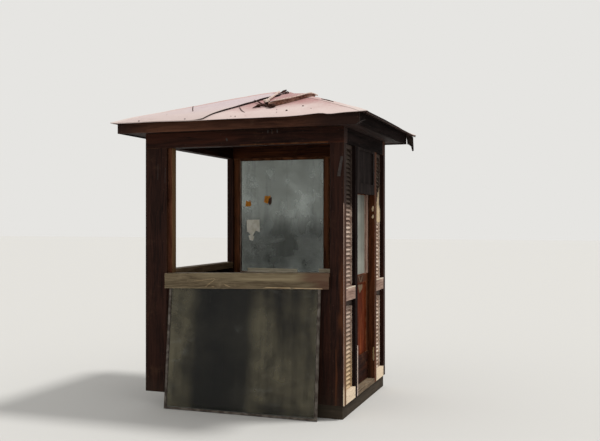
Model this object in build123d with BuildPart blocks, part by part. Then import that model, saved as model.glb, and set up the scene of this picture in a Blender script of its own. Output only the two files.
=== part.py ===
from build123d import *
import math
import os

os.makedirs("parts", exist_ok=True)

# Body of the kiosk; its width runs from the edge of the front left board to the face of the right wall
body_width = 1780
body_depth = 1410
wall_depth = 100
left_wall_inset = 160
left_wall_depth = 80

# Base frame and floor
base_height = 110
base_beam_width = 130
base_setback = 15
joist_width = 60
joist_spacing = 500
floor_thickness = 22

# Corner posts and the boards that face them
face_board = 30
corner_return = 66
front_right_board_width = 116
front_left_board_width = 204
back_left_board_width = 80
back_right_board_width = 300
post_height = 2090

# Door posts on the right side
door_post_width = 55
door_stop = 12
door_stop_depth = 57
louvre_opening = 277

# Wall plates, ceiling and eaves
header_height = 125
ceiling_thickness = 20
fascia_offset = 172
fascia_thickness = 20
fascia_drop = 7
eave_overhang = 250
left_eave_overhang = 195
eave_rise = 95
roof_rise = 345
roof_thickness = 24
ridge_length = 135
cap_width = 90
cap_thickness = 4
ridge_board_thickness = 25
ridge_board_height = 90
hip_rafter_thickness = 25
hip_rafter_height = 85

# Loose sheets and a lath that lie on the front slope
loose_sheet_thickness = 5
lap_top_inset = 76
lap_top_shift = 9
lap_knee_run = 609
lap_knee_shift = -231
lap_foot_shift = -409
lifted_sheet_thickness = 4
lifted_top_width = 55
lifted_side_run = 253
lifted_side_shift = 333
lifted_side_rise = 0
lifted_foot_run = 709
lifted_foot_shift = 79
lifted_foot_rise = 55
lath_width = 12
lath_height = 10
lath_top_run = 40
lath_top_shift = -96
lath_foot_run = 530
lath_foot_shift = -41

# Serving counter and the boarding under the windows
counter_bottom = 925
counter_height = 127
counter_proud = 35
counter_sag = 31
counter_shelf = 30
counter_front = 14
boarding_thickness = 25
sill_height = 60
sill_proud = 20

# Window at the back
back_sill_height = 940
sash_width = 60
sash_rail = 12
mullion_width = 45
mullion_place = 290
sash_depth = 40
sash_setback = 30
glass_thickness = 5

# Louvres
slat_pitch = 36
slat_width = 50
slat_thickness = 7
slat_angle = 52
louvre_depth = 50
louvre_stile = 14
louvre_rail = 30
louvre_bottom_rail = 92
louvre_mid_rail = 105
louvre_mid_height = 825
louvre_mid_drop = 45
broken_slats_low = 1560
broken_slats_high = 1760

# Door
door_gap = 5
door_thickness = 36
door_bottom = 45
door_height = 1739
door_stile = 75
door_top_rail = 77
door_mid_rail = 62
door_mid_height = 925
door_bottom_rail = 110
door_panel_thickness = 14
threshold_height = 38
transom_stile = 55
transom_bottom_rail = 89
transom_top_rail = 20
transom_lap = 84
transom_thickness = 40
transom_panel_thickness = 14
hinge_radius = 7
hinge_plate = 2.5
hinge_plate_width = 30
hinge_length = 90
hinge_inset = 180
handle_length = 140
handle_height = 1000
handle_standoff = 34
handle_bar = 12

# Loose pane that stands against the front
pane_width = 1350
pane_frame = 20
pane_thickness = 18
pane_foot = 100
pane_side_gap = 74

fit_gap = 0.3

# Places worked out from the sizes above; the roof's plan is centred on the origin
half_depth = body_depth / 2
eave_x = (body_width + left_eave_overhang + eave_overhang) / 2
eave_y = half_depth + eave_overhang
right_face = eave_x - eave_overhang
left_edge = -eave_x + left_eave_overhang
left_face = left_edge + left_wall_inset
base_top = base_height
header_bottom = base_top + post_height
header_top = header_bottom + header_height
ceiling_top = header_top + ceiling_thickness
counter_low = base_top + counter_bottom
counter_top = counter_low + counter_height
back_sill_top = base_top + back_sill_height
eave_top = header_top - fascia_drop + eave_rise
ridge_z = eave_top + roof_rise
roof_slope = roof_rise / eave_y
ridge_right = eave_x - eave_y
ridge_left = ridge_right - ridge_length
right_inner = right_face - wall_depth
left_inner = left_face + left_wall_depth
inner_y = half_depth - wall_depth


def block(x_low, x_high, y_low, y_high, z_low, z_high, mode=Mode.ADD):
    with BuildSketch(Plane.XY.offset(z_low)) as outline:
        with Locations(((x_low + x_high) / 2, (y_low + y_high) / 2)):
            Rectangle(x_high - x_low, y_high - y_low)
    extrude(outline.sketch, amount=z_high - z_low, mode=mode)


def upright(points, z_low, z_high):
    with BuildSketch(Plane.XY.offset(z_low)) as outline:
        with BuildLine():
            Polyline(*points, close=True)
        make_face()
    extrude(outline.sketch, amount=z_high - z_low)


def save(builder, name):
    builder.part.label = name
    export_step(builder.part, f"parts/{name}.step")


# Base frame: two long beams, two end beams and the joists between them
base_left = left_face + base_setback
base_right = right_face - base_setback
base_middle = (base_left + base_right) / 2
base_y = half_depth - base_setback
base_inner_y = base_y - base_beam_width
with BuildPart() as base_long_beams:
    for side in (-1, 1):
        near = side * base_inner_y
        far = side * base_y
        block(base_left, base_right, min(near, far), max(near, far), 0, base_top)
save(base_long_beams, "base_long_beams")

with BuildPart() as base_cross_beams:
    for low in (base_left, base_right - base_beam_width):
        block(low, low + base_beam_width, -base_inner_y, base_inner_y, 0, base_top)
    for place in (base_middle - joist_spacing / 2, base_middle + joist_spacing / 2):
        block(place - joist_width / 2, place + joist_width / 2, -base_inner_y, base_inner_y, 0, base_top)
save(base_cross_beams, "base_cross_beams")

with BuildPart() as floor_boards:
    block(left_inner, right_inner, -inner_y, inner_y, base_top, base_top + floor_thickness)
save(floor_boards, "floor")


# Corner posts, rebated on the side walls so that a panel can sit in them
def corner_points(face_x, inner_x, side_y):
    inward = math.copysign(1, inner_x - face_x)
    rebate_x = face_x + inward * face_board
    outline = [
        (face_x, face_board),
        (inner_x, face_board),
        (inner_x, wall_depth),
        (rebate_x, wall_depth),
        (rebate_x, corner_return),
        (face_x, corner_return),
    ]
    return [(x, side_y * (half_depth - inset)) for x, inset in outline]


corner_places = {
    "front_left_post": (left_face, left_inner, -1),
    "front_right_post": (right_face, right_inner, -1),
    "back_left_post": (left_face, left_inner, 1),
    "back_right_post": (right_face, right_inner, 1),
}
for post_name, place in corner_places.items():
    with BuildPart() as corner_post:
        upright(corner_points(*place), base_top, header_bottom)
    save(corner_post, post_name)

# Face boards at the four corners; the front left one reaches out past the left wall
window_left = left_edge + front_left_board_width
window_right = right_face - front_right_board_width
back_left = left_face + back_left_board_width
back_right = right_face - back_right_board_width
with BuildPart() as front_corner_boards:
    for low, high in ((left_edge, window_left), (window_right, right_face)):
        block(low, high, -half_depth, -half_depth + face_board, base_top, header_bottom)
save(front_corner_boards, "front_corner_boards")

with BuildPart() as back_corner_boards:
    for low, high in ((left_face, back_left), (back_right, right_face)):
        block(low, high, half_depth - face_board, half_depth, base_top, header_bottom)
save(back_corner_boards, "back_corner_boards")

# Door posts, each with a stop for the door leaf
door_post_outer = -half_depth + corner_return + louvre_opening
door_side_front = door_post_outer + door_post_width
door_side_back = -door_side_front
stop_x = right_face - door_stop_depth
for post_name, side_y in (("door_post_front", -1), ("door_post_back", 1)):
    outer = side_y * -door_post_outer
    inner = side_y * -door_side_front
    stop = side_y * -(door_side_front + door_stop)
    with BuildPart() as door_post:
        upright(
            [
                (right_face, outer), (right_face, stop), (stop_x, stop),
                (stop_x, inner), (right_inner, inner), (right_inner, outer),
            ],
            base_top,
            header_bottom,
        )
    save(door_post, post_name)

# Wall plates round the top of the walls
header_places = {
    "front_header": (left_edge, right_face, -half_depth, -inner_y),
    "back_header": (left_face, right_face, inner_y, half_depth),
    "left_header": (left_face, left_inner, -inner_y, inner_y),
    "right_header": (right_inner, right_face, -inner_y, inner_y),
}
for header_name, place in header_places.items():
    with BuildPart() as header:
        block(*place, header_bottom, header_top)
    save(header, header_name)

# Serving counter and the boards under it
board_back = -half_depth + face_board
boarding_front = board_back - boarding_thickness
counter_front_y = -half_depth - counter_proud


def counter_plane(drop):
    """plane of the counter's top, which sags to the left, lowered by drop"""
    return Plane(
        origin=(window_right, 0, counter_top - drop),
        x_dir=(0, 1, 0),
        z_dir=(-counter_sag, 0, window_right - window_left),
    )


with BuildPart() as counter:
    upright(
        [
            (window_left, counter_front_y), (window_right, counter_front_y),
            (window_right, -inner_y), (left_inner, -inner_y), (left_inner, board_back), (window_left, board_back),
        ],
        base_top,
        header_bottom,
    )
    split(bisect_by=counter_plane(counter_shelf), keep=Keep.TOP)
    with BuildPart(mode=Mode.PRIVATE) as counter_face:
        block(window_left, window_right, counter_front_y, counter_front_y + counter_front, base_top, header_bottom)
        split(bisect_by=counter_plane(counter_height), keep=Keep.TOP)
    add(counter_face.part)
    split(bisect_by=counter_plane(0), keep=Keep.BOTTOM)
save(counter, "counter_rail")

with BuildPart() as front_lower_boards:
    block(window_left, window_right, boarding_front, board_back, base_top, counter_top)
    split(bisect_by=counter_plane(counter_shelf), keep=Keep.BOTTOM)
save(front_lower_boards, "front_lower_boards")

# Left wall: boards below an open window
rebate_y = half_depth - corner_return
left_rebate = left_face + face_board
sill_low = counter_top - sill_height
with BuildPart() as left_lower_boards:
    block(left_rebate - boarding_thickness, left_rebate, -rebate_y, rebate_y, base_top, sill_low)
save(left_lower_boards, "left_lower_boards")

with BuildPart() as left_window_sill:
    block(left_face - sill_proud, left_rebate, -rebate_y, rebate_y, sill_low, counter_top)
    block(left_rebate, left_inner, -inner_y, inner_y, sill_low, counter_top)
save(left_window_sill, "left_window_sill")

# Back wall: boards, sill, a sash with one mullion, and its two panes
back_board_front = half_depth - face_board
back_sill_low = back_sill_top - sill_height
with BuildPart() as back_lower_boards:
    block(back_left, back_right, back_board_front, back_board_front + boarding_thickness, base_top, back_sill_low)
save(back_lower_boards, "back_lower_boards")

with BuildPart() as back_window_sill:
    block(back_left, back_right, inner_y, half_depth + sill_proud, back_sill_low, back_sill_top)
save(back_window_sill, "back_window_sill")

sash_back = half_depth - sash_setback
sash_front = sash_back - sash_depth
sash_middle = (sash_front + sash_back) / 2
mullion_left = back_right - mullion_place
mullion_right = mullion_left + mullion_width
pane_places = ((back_left + sash_width, mullion_left), (mullion_right, back_right - sash_width))
pane_low = back_sill_top + sash_rail
pane_high = header_bottom - sash_rail
with BuildPart() as back_window_frame:
    block(back_left, back_right, sash_front, sash_back, back_sill_top, header_bottom)
    for low, high in pane_places:
        block(low, high, sash_front, sash_back, pane_low, pane_high, Mode.SUBTRACT)
save(back_window_frame, "back_window_frame")

glass_front = sash_middle - glass_thickness / 2
with BuildPart() as back_window_glass:
    for low, high in pane_places:
        block(low, high, glass_front, glass_front + glass_thickness, pane_low, pane_high)
save(back_window_glass, "back_window_glass")


# Louvre panels: recessed frames with sloping slats
louvre_out = right_face - face_board
louvre_in = louvre_out - louvre_depth
louvre_mid = base_top + louvre_mid_height
louvre_rails = (
    (base_top, base_top + louvre_bottom_rail),
    (louvre_mid - louvre_mid_drop, louvre_mid + louvre_mid_rail),
    (header_bottom - louvre_rail, header_bottom),
)
front_rails = (louvre_rails[0], (louvre_mid, louvre_mid + louvre_mid_rail))
broken_low = base_top + broken_slats_low
broken_high = base_top + broken_slats_high


def louvre_panel(y_low, y_high, with_broken_slats):
    for edge in (y_low, y_high - louvre_stile):
        block(louvre_in, louvre_out, edge, edge + louvre_stile, base_top, header_bottom)
    for rail_low, rail_high in louvre_rails:
        block(louvre_in, louvre_out, y_low, y_high, rail_low, rail_high)
    rise = slat_width * math.sin(math.radians(slat_angle))
    for lower_rail, upper_rail in zip(louvre_rails, louvre_rails[1:]):
        field_low = lower_rail[1]
        field_high = upper_rail[0]
        count = int((field_high - field_low - rise) // slat_pitch) + 1
        spare = (field_high - field_low - rise - (count - 1) * slat_pitch) / 2
        for index in range(count):
            z_middle = field_low + spare + rise / 2 + index * slat_pitch
            if with_broken_slats and broken_low < z_middle < broken_high:
                continue
            with BuildSketch(Plane.XZ.offset(-(y_low + y_high) / 2)) as slat:
                with Locations(((louvre_in + louvre_out) / 2, z_middle)):
                    Rectangle(slat_width, slat_thickness, rotation=180 - slat_angle)
            extrude(slat.sketch, amount=(y_high - y_low - louvre_stile) / 2, both=True)


with BuildPart() as louvre_panel_front:
    louvre_panel(-inner_y, door_post_outer, False)
save(louvre_panel_front, "louvre_panel_front")

with BuildPart() as louvre_panel_back:
    louvre_panel(-door_post_outer, inner_y, True)
save(louvre_panel_back, "louvre_panel_back")

# Rails in front of the panels, flush with the posts
with BuildPart() as right_wall_rails:
    for y_low, y_high in ((-rebate_y, door_post_outer), (-door_post_outer, rebate_y)):
        for rail_low, rail_high in front_rails:
            block(louvre_out, right_face, y_low, y_high, rail_low, rail_high)
save(right_wall_rails, "right_wall_rails")

# Door threshold and the fixed panel over the door
leaf_low = base_top + door_bottom
leaf_high = leaf_low + door_height
with BuildPart() as door_threshold:
    block(stop_x, right_face, door_side_front + door_stop, door_side_back - door_stop,
          base_top, base_top + threshold_height)
    block(right_inner, stop_x, door_side_front, door_side_back, base_top, base_top + threshold_height)
save(door_threshold, "door_threshold")

transom_low = leaf_high - transom_lap
transom_panel_low = transom_low + transom_bottom_rail
transom_panel_high = header_bottom - transom_top_rail
transom_in = right_face - transom_thickness
transom_half = door_side_back - door_stop
with BuildPart() as transom_panel:
    block(transom_in, right_face, -transom_half, transom_half, transom_low, header_bottom)
    block(
        transom_in, right_face, transom_stile - transom_half, transom_half - transom_stile,
        transom_panel_low, transom_panel_high, Mode.SUBTRACT,
    )
    transom_middle = (transom_in + right_face) / 2
    block(
        transom_middle - transom_panel_thickness / 2, transom_middle + transom_panel_thickness / 2,
        transom_stile - transom_half, transom_half - transom_stile, transom_panel_low, transom_panel_high,
    )
save(transom_panel, "transom_panel")

# Door leaf: stiles and rails, a pane above and a panel below
leaf_out = stop_x - door_gap
leaf_in = leaf_out - door_thickness
leaf_front = door_side_front + door_gap
leaf_back = door_side_back - door_gap
mid_low = base_top + door_mid_height
mid_high = mid_low + door_mid_rail
light_front = leaf_front + door_stile
light_back = leaf_back - door_stile
leaf_middle = (leaf_out + leaf_in) / 2
with BuildPart() as door_leaf:
    block(leaf_in, leaf_out, leaf_front, leaf_back, leaf_low, leaf_high)
    block(leaf_in, leaf_out, light_front, light_back, leaf_low + door_bottom_rail, mid_low, Mode.SUBTRACT)
    block(leaf_in, leaf_out, light_front, light_back, mid_high, leaf_high - door_top_rail, Mode.SUBTRACT)
save(door_leaf, "door_leaf")

with BuildPart() as door_glass:
    block(
        leaf_middle - glass_thickness / 2, leaf_middle + glass_thickness / 2,
        light_front, light_back, mid_high, leaf_high - door_top_rail,
    )
save(door_glass, "door_glass")

with BuildPart() as door_lower_panel:
    block(
        leaf_middle - door_panel_thickness / 2, leaf_middle + door_panel_thickness / 2,
        light_front, light_back, leaf_low + door_bottom_rail, mid_low,
    )
save(door_lower_panel, "door_lower_panel")

# Butt hinges on the inner edge of the leaf: outer knuckles on the post, the middle one on the leaf
hinge_x = right_inner - hinge_radius - fit_gap
hinge_y = door_side_back - door_gap / 2
hinge_middles = (leaf_low + hinge_inset, leaf_high - hinge_inset)
knuckle_length = hinge_length / 3


def knuckle(z_low, z_high):
    with BuildSketch(Plane.XY.offset(z_low)) as ring:
        with Locations((hinge_x, hinge_y)):
            Circle(hinge_radius)
    extrude(ring.sketch, amount=z_high - z_low)


with BuildPart() as door_hinges:
    for middle in hinge_middles:
        for side in (-1, 1):
            near = middle + side * knuckle_length / 2
            far = middle + side * hinge_length / 2
            knuckle(min(near, far), max(near, far))
            block(
                right_inner - hinge_plate, right_inner, hinge_y, door_side_back + hinge_plate_width,
                min(near, far), max(near, far),
            )
save(door_hinges, "door_hinges")

with BuildPart() as door_hinge_leaves:
    for middle in hinge_middles:
        low = middle - knuckle_length / 2 + fit_gap
        high = middle + knuckle_length / 2 - fit_gap
        knuckle(low, high)
        block(hinge_x + hinge_radius - hinge_plate, leaf_in, leaf_back - hinge_plate_width, hinge_y, low, high)
save(door_hinge_leaves, "door_hinge_leaves")

# Pull handle on the outer face of the leaf, near its free edge
handle_y = leaf_front + door_stile / 2
handle_low = base_top + handle_height - handle_length / 2
with BuildPart() as door_handle:
    with BuildLine(Plane.XZ.offset(-handle_y)) as handle_line:
        Polyline(
            (leaf_out, handle_low),
            (leaf_out + handle_standoff, handle_low),
            (leaf_out + handle_standoff, handle_low + handle_length),
            (leaf_out, handle_low + handle_length),
        )
        fillet(handle_line.vertices().sort_by(Axis.X)[2:4], radius=handle_bar)
    with BuildSketch(Plane(origin=(leaf_out, handle_y, handle_low), z_dir=(1, 0, 0))):
        Circle(handle_bar / 2)
    sweep()
save(door_handle, "door_handle")

# Loose framed pane, its foot on the ground and its top against the boards, behind the counter's front
pane_reach = pane_foot + face_board - boarding_thickness - fit_gap
pane_height = math.hypot(counter_low + pane_frame, pane_reach)
lean = math.asin(pane_reach / pane_height)
pane_right = window_right - pane_side_gap
pane_left = pane_right - pane_width
pane_plane = Plane(
    origin=((pane_left + pane_right) / 2, -half_depth - pane_foot, 0),
    x_dir=(1, 0, 0),
    z_dir=(0, -math.cos(lean), math.sin(lean)),
)
with BuildPart() as loose_pane_frame:
    with BuildSketch(pane_plane):
        with Locations((0, pane_height / 2)):
            Rectangle(pane_width, pane_height)
            Rectangle(pane_width - 2 * pane_frame, pane_height - 2 * pane_frame, mode=Mode.SUBTRACT)
    extrude(amount=pane_thickness)
save(loose_pane_frame, "loose_pane_frame")

with BuildPart() as loose_pane_glass:
    with BuildSketch(pane_plane.offset((pane_thickness - glass_thickness) / 2)):
        with Locations((0, pane_height / 2)):
            Rectangle(pane_width - 2 * pane_frame, pane_height - 2 * pane_frame)
    extrude(amount=glass_thickness)
save(loose_pane_glass, "loose_pane_glass")

# Ceiling boards that also close the eaves from below
fascia_left = left_edge - fascia_offset
fascia_right = right_face + fascia_offset
fascia_y = half_depth + fascia_offset
fascia_left_inner = fascia_left + fascia_thickness
fascia_right_inner = fascia_right - fascia_thickness
fascia_inner_y = fascia_y - fascia_thickness
with BuildPart() as ceiling:
    block(fascia_left_inner, fascia_right_inner, -fascia_inner_y, fascia_inner_y, header_top, ceiling_top)
save(ceiling, "ceiling_boards")


# Hip roof: each slope is an upright prism over its plan, cut by two sloping planes
side_slopes = {-1: roof_rise / (eave_x + ridge_left), 1: roof_rise / (eave_x - ridge_right)}


def slope_plane(direction_x, direction_y, drop):
    """plane of the slope that falls towards the given side, lowered by drop"""
    fall = side_slopes[direction_x] if direction_x else roof_slope
    return Plane(
        origin=(direction_x * eave_x, direction_y * eave_y, eave_top - drop),
        x_dir=(-direction_y, direction_x, 0),
        z_dir=(direction_x * fall, direction_y * fall, 1),
    )


ridge_ends = {-1: ridge_left, 1: ridge_right}
slope_sides = ((0, -1), (0, 1), (-1, 0), (1, 0))
slope_names = ("front_roof_slope", "back_roof_slope", "left_roof_slope", "right_roof_slope")
for slope_name, (direction_x, direction_y) in zip(slope_names, slope_sides):
    if direction_x:
        plan = [
            (direction_x * eave_x, -eave_y), (direction_x * eave_x, eave_y), (ridge_ends[direction_x], 0),
        ]
    else:
        plan = [
            (-eave_x, direction_y * eave_y), (eave_x, direction_y * eave_y), (ridge_right, 0), (ridge_left, 0),
        ]
    with BuildPart() as slope:
        upright(plan, eave_top - 2 * roof_thickness, ridge_z + roof_thickness)
        split(bisect_by=slope_plane(direction_x, direction_y, 0), keep=Keep.BOTTOM)
        split(bisect_by=slope_plane(direction_x, direction_y, roof_thickness), keep=Keep.TOP)
    save(slope, slope_name)

# Folded caps over the ridge and the hips: bands of a thin layer that follows all four slopes
with BuildPart() as roof_body:
    block(-eave_x, eave_x, -eave_y, eave_y, eave_top - roof_thickness, ridge_z)
    for direction_x, direction_y in slope_sides:
        split(bisect_by=slope_plane(direction_x, direction_y, 0), keep=Keep.BOTTOM)

with BuildPart() as roof_caps:
    with BuildSketch(Plane.XY.offset(eave_top - roof_thickness)):
        with Locations(((ridge_left + ridge_right) / 2, 0)):
            Rectangle(ridge_length, cap_width)
        for side_x in (-1, 1):
            with Locations((ridge_ends[side_x], 0)):
                Circle(cap_width / 2)
            for side_y in (-1, 1):
                run_x = side_x * eave_x - ridge_ends[side_x]
                run_y = side_y * eave_y
                across_x = -run_y / math.hypot(run_x, run_y) * cap_width / 2
                across_y = run_x / math.hypot(run_x, run_y) * cap_width / 2
                with BuildLine():
                    Polyline(
                        (ridge_ends[side_x] + across_x, across_y),
                        (ridge_ends[side_x] - across_x, -across_y),
                        (ridge_ends[side_x] + 2 * run_x - across_x, 2 * run_y - across_y),
                        (ridge_ends[side_x] + 2 * run_x + across_x, 2 * run_y + across_y),
                        close=True,
                    )
                make_face()
        Rectangle(2 * eave_x, 2 * eave_y, mode=Mode.INTERSECT)
    extrude(amount=ridge_z + roof_thickness - eave_top + roof_thickness)
    for direction_x, direction_y in slope_sides:
        split(bisect_by=slope_plane(direction_x, direction_y, -cap_thickness), keep=Keep.BOTTOM)
    add(roof_body.part, mode=Mode.SUBTRACT)
save(roof_caps, "roof_caps")

# Loose sheets on the front slope: one laps over from the left, the other is torn up near the ridge
left_hip_run = math.hypot(eave_x + ridge_left, eave_y)
cap_edge = (cap_width / 2 + fit_gap) * left_hip_run / eave_y
cap_edge_slope = (eave_x + ridge_left) / eave_y


def front_slope_z(y):
    return ridge_z - roof_slope * -y


with BuildPart() as lapping_sheet:
    upright(
        [
            (ridge_left + cap_edge - cap_edge_slope * lap_top_inset, -lap_top_inset),
            (ridge_right + lap_top_shift, -lap_top_inset),
            (ridge_right + lap_knee_shift, -lap_knee_run),
            (ridge_right + lap_foot_shift, -eave_y),
            (ridge_left + cap_edge - cap_edge_slope * eave_y, -eave_y),
        ],
        eave_top,
        ridge_z + roof_thickness,
    )
    split(bisect_by=slope_plane(0, -1, -loose_sheet_thickness), keep=Keep.BOTTOM)
    split(bisect_by=slope_plane(0, -1, 0), keep=Keep.TOP)

lifted_top = Vector(ridge_right, 0, ridge_z + cap_thickness + fit_gap)
lifted_side = Vector(
    ridge_right + lifted_side_shift, -lifted_side_run, front_slope_z(-lifted_side_run) + lifted_side_rise,
)
lifted_foot = Vector(
    ridge_right + lifted_foot_shift, -lifted_foot_run, front_slope_z(-lifted_foot_run) + lifted_foot_rise,
)
lifted_normal = (lifted_foot - lifted_top).cross(lifted_side - lifted_top)
lifted_plane = Plane(origin=lifted_top, x_dir=lifted_side - lifted_top, z_dir=lifted_normal)
with BuildPart() as lifted_sheet:
    upright(
        [
            (ridge_right - lifted_top_width, 0),
            (ridge_right, 0),
            (lifted_side.X, lifted_side.Y),
            (lifted_foot.X, lifted_foot.Y),
        ],
        eave_top,
        ridge_z + 2 * roof_thickness,
    )
    split(bisect_by=lifted_plane, keep=Keep.TOP)
    split(bisect_by=lifted_plane.offset(lifted_sheet_thickness), keep=Keep.BOTTOM)

with BuildPart() as loose_roof_sheets:
    add(lapping_sheet.part)
    add(lifted_sheet.part)
save(loose_roof_sheets, "loose_roof_sheets")

lath_top = Vector(ridge_right + lath_top_shift, -lath_top_run, 0)
lath_foot = Vector(ridge_right + lath_foot_shift, -lath_foot_run, 0)
lath_side = (lath_foot - lath_top).normalized().rotate(Axis.Z, 90) * (lath_width / 2)
with BuildPart() as loose_roof_lath:
    upright(
        [
            (corner.X, corner.Y)
            for corner in (lath_top - lath_side, lath_top + lath_side, lath_foot + lath_side, lath_foot - lath_side)
        ],
        eave_top,
        ridge_z + 2 * roof_thickness,
    )
    lath_drop = loose_sheet_thickness + fit_gap
    split(bisect_by=slope_plane(0, -1, -lath_drop), keep=Keep.TOP)
    split(bisect_by=slope_plane(0, -1, -lath_drop - lath_height), keep=Keep.BOTTOM)
save(loose_roof_lath, "loose_roof_lath")

# Fascia boards round the eaves, their tops cut to the slope
fascia_low = header_top - fascia_drop
with BuildPart() as fascia_long:
    for low in (-fascia_y, fascia_inner_y):
        block(fascia_left, fascia_right, low, low + fascia_thickness, fascia_low, ridge_z)
    for direction_x, direction_y in slope_sides:
        split(bisect_by=slope_plane(direction_x, direction_y, roof_thickness + fit_gap), keep=Keep.BOTTOM)
save(fascia_long, "fascia_long")

with BuildPart() as fascia_short:
    for low in (fascia_left, fascia_right_inner):
        block(low, low + fascia_thickness, -fascia_inner_y, fascia_inner_y, fascia_low, ridge_z)
    for direction_x, direction_y in slope_sides:
        split(bisect_by=slope_plane(direction_x, direction_y, roof_thickness + fit_gap), keep=Keep.BOTTOM)
save(fascia_short, "fascia_short")

# Ridge board and hip rafters under the slopes
ridge_under = ridge_z - roof_thickness - fit_gap
with BuildPart() as ridge_board:
    with BuildSketch(Plane.YZ.offset(ridge_left)):
        with BuildLine():
            half = ridge_board_thickness / 2
            Polyline(
                (0, ridge_under),
                (half, ridge_under - half * roof_slope),
                (half, ridge_under - ridge_board_height),
                (-half, ridge_under - ridge_board_height),
                (-half, ridge_under - half * roof_slope),
                close=True,
            )
        make_face()
    extrude(amount=ridge_length)
save(ridge_board, "ridge_board")

hip_half = hip_rafter_thickness / 2
hip_start = ridge_board_thickness
hip_rooms = {-1: ridge_left - fascia_left_inner, 1: fascia_right_inner - ridge_right}
with BuildPart() as hip_rafters:
    for side_x in (-1, 1):
        plan_x = eave_x - side_x * ridge_ends[side_x]
        hip_length = math.hypot(plan_x, eave_y)
        along_x = plan_x / hip_length
        along_y = eave_y / hip_length
        hip_slope = roof_rise / hip_length
        hip_top = ridge_under - hip_half * max(roof_slope * along_x, side_slopes[side_x] * along_y)
        hip_run = min(
            (hip_rooms[side_x] - hip_half * along_y) / along_x,
            (fascia_inner_y - hip_half * along_x) / along_y,
        ) - fit_gap
        hip_seat_run = (hip_top - hip_rafter_height - ceiling_top) / hip_slope
        for side_y in (-1, 1):
            hip_plane = Plane(
                origin=(ridge_ends[side_x], 0, 0),
                x_dir=(side_x * along_x, side_y * along_y, 0),
                z_dir=(side_y * along_y, -side_x * along_x, 0),
            )
            with BuildSketch(hip_plane):
                with BuildLine():
                    Polyline(
                        (hip_start, hip_top - hip_start * hip_slope),
                        (hip_run, hip_top - hip_run * hip_slope),
                        (hip_run, ceiling_top),
                        (hip_seat_run, ceiling_top),
                        (hip_start, hip_top - hip_start * hip_slope - hip_rafter_height),
                        close=True,
                    )
                make_face()
            extrude(amount=hip_half, both=True)
save(hip_rafters, "hip_rafters")
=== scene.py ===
import bpy
import bmesh
import math
import random
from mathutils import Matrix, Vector, noise


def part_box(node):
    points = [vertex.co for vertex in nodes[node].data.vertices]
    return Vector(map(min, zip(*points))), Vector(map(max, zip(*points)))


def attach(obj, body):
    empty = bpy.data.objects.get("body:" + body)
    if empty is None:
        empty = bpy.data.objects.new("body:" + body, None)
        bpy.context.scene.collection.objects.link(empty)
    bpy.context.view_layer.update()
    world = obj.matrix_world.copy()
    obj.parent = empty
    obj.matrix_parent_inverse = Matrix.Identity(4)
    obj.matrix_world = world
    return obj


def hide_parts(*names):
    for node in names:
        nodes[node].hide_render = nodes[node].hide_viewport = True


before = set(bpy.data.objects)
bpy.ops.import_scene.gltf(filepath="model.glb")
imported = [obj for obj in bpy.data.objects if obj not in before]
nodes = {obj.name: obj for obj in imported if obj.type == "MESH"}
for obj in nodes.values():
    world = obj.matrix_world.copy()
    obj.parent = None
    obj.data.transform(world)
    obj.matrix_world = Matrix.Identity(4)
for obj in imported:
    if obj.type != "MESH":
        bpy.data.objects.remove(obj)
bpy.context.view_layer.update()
scene = bpy.context.scene

# camera where the photographer stood
camera = {"place": (2.6232, -6.7878, 1.58), "turn": 19.29, "lens": 48.0, "sensor": 36.0}
cameraData = bpy.data.cameras.new("camera")
cameraData.lens = camera["lens"]
cameraData.sensor_width = camera["sensor"]
cameraObject = bpy.data.objects.new("camera", cameraData)
cameraObject.location = camera["place"]
cameraObject.rotation_euler = (math.radians(90), 0, math.radians(camera["turn"]))
scene.collection.objects.link(cameraObject)
scene.camera = cameraObject
scene.view_settings.view_transform = "Standard"


def tint(code):
    # hex colour as the shader wants it
    parts = [int(code[i:i + 2], 16) / 255 for i in (0, 2, 4)]
    return tuple(p / 12.92 if p < 0.04045 else ((p + 0.055) / 1.055) ** 2.4 for p in parts) + (1.0,)


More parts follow.
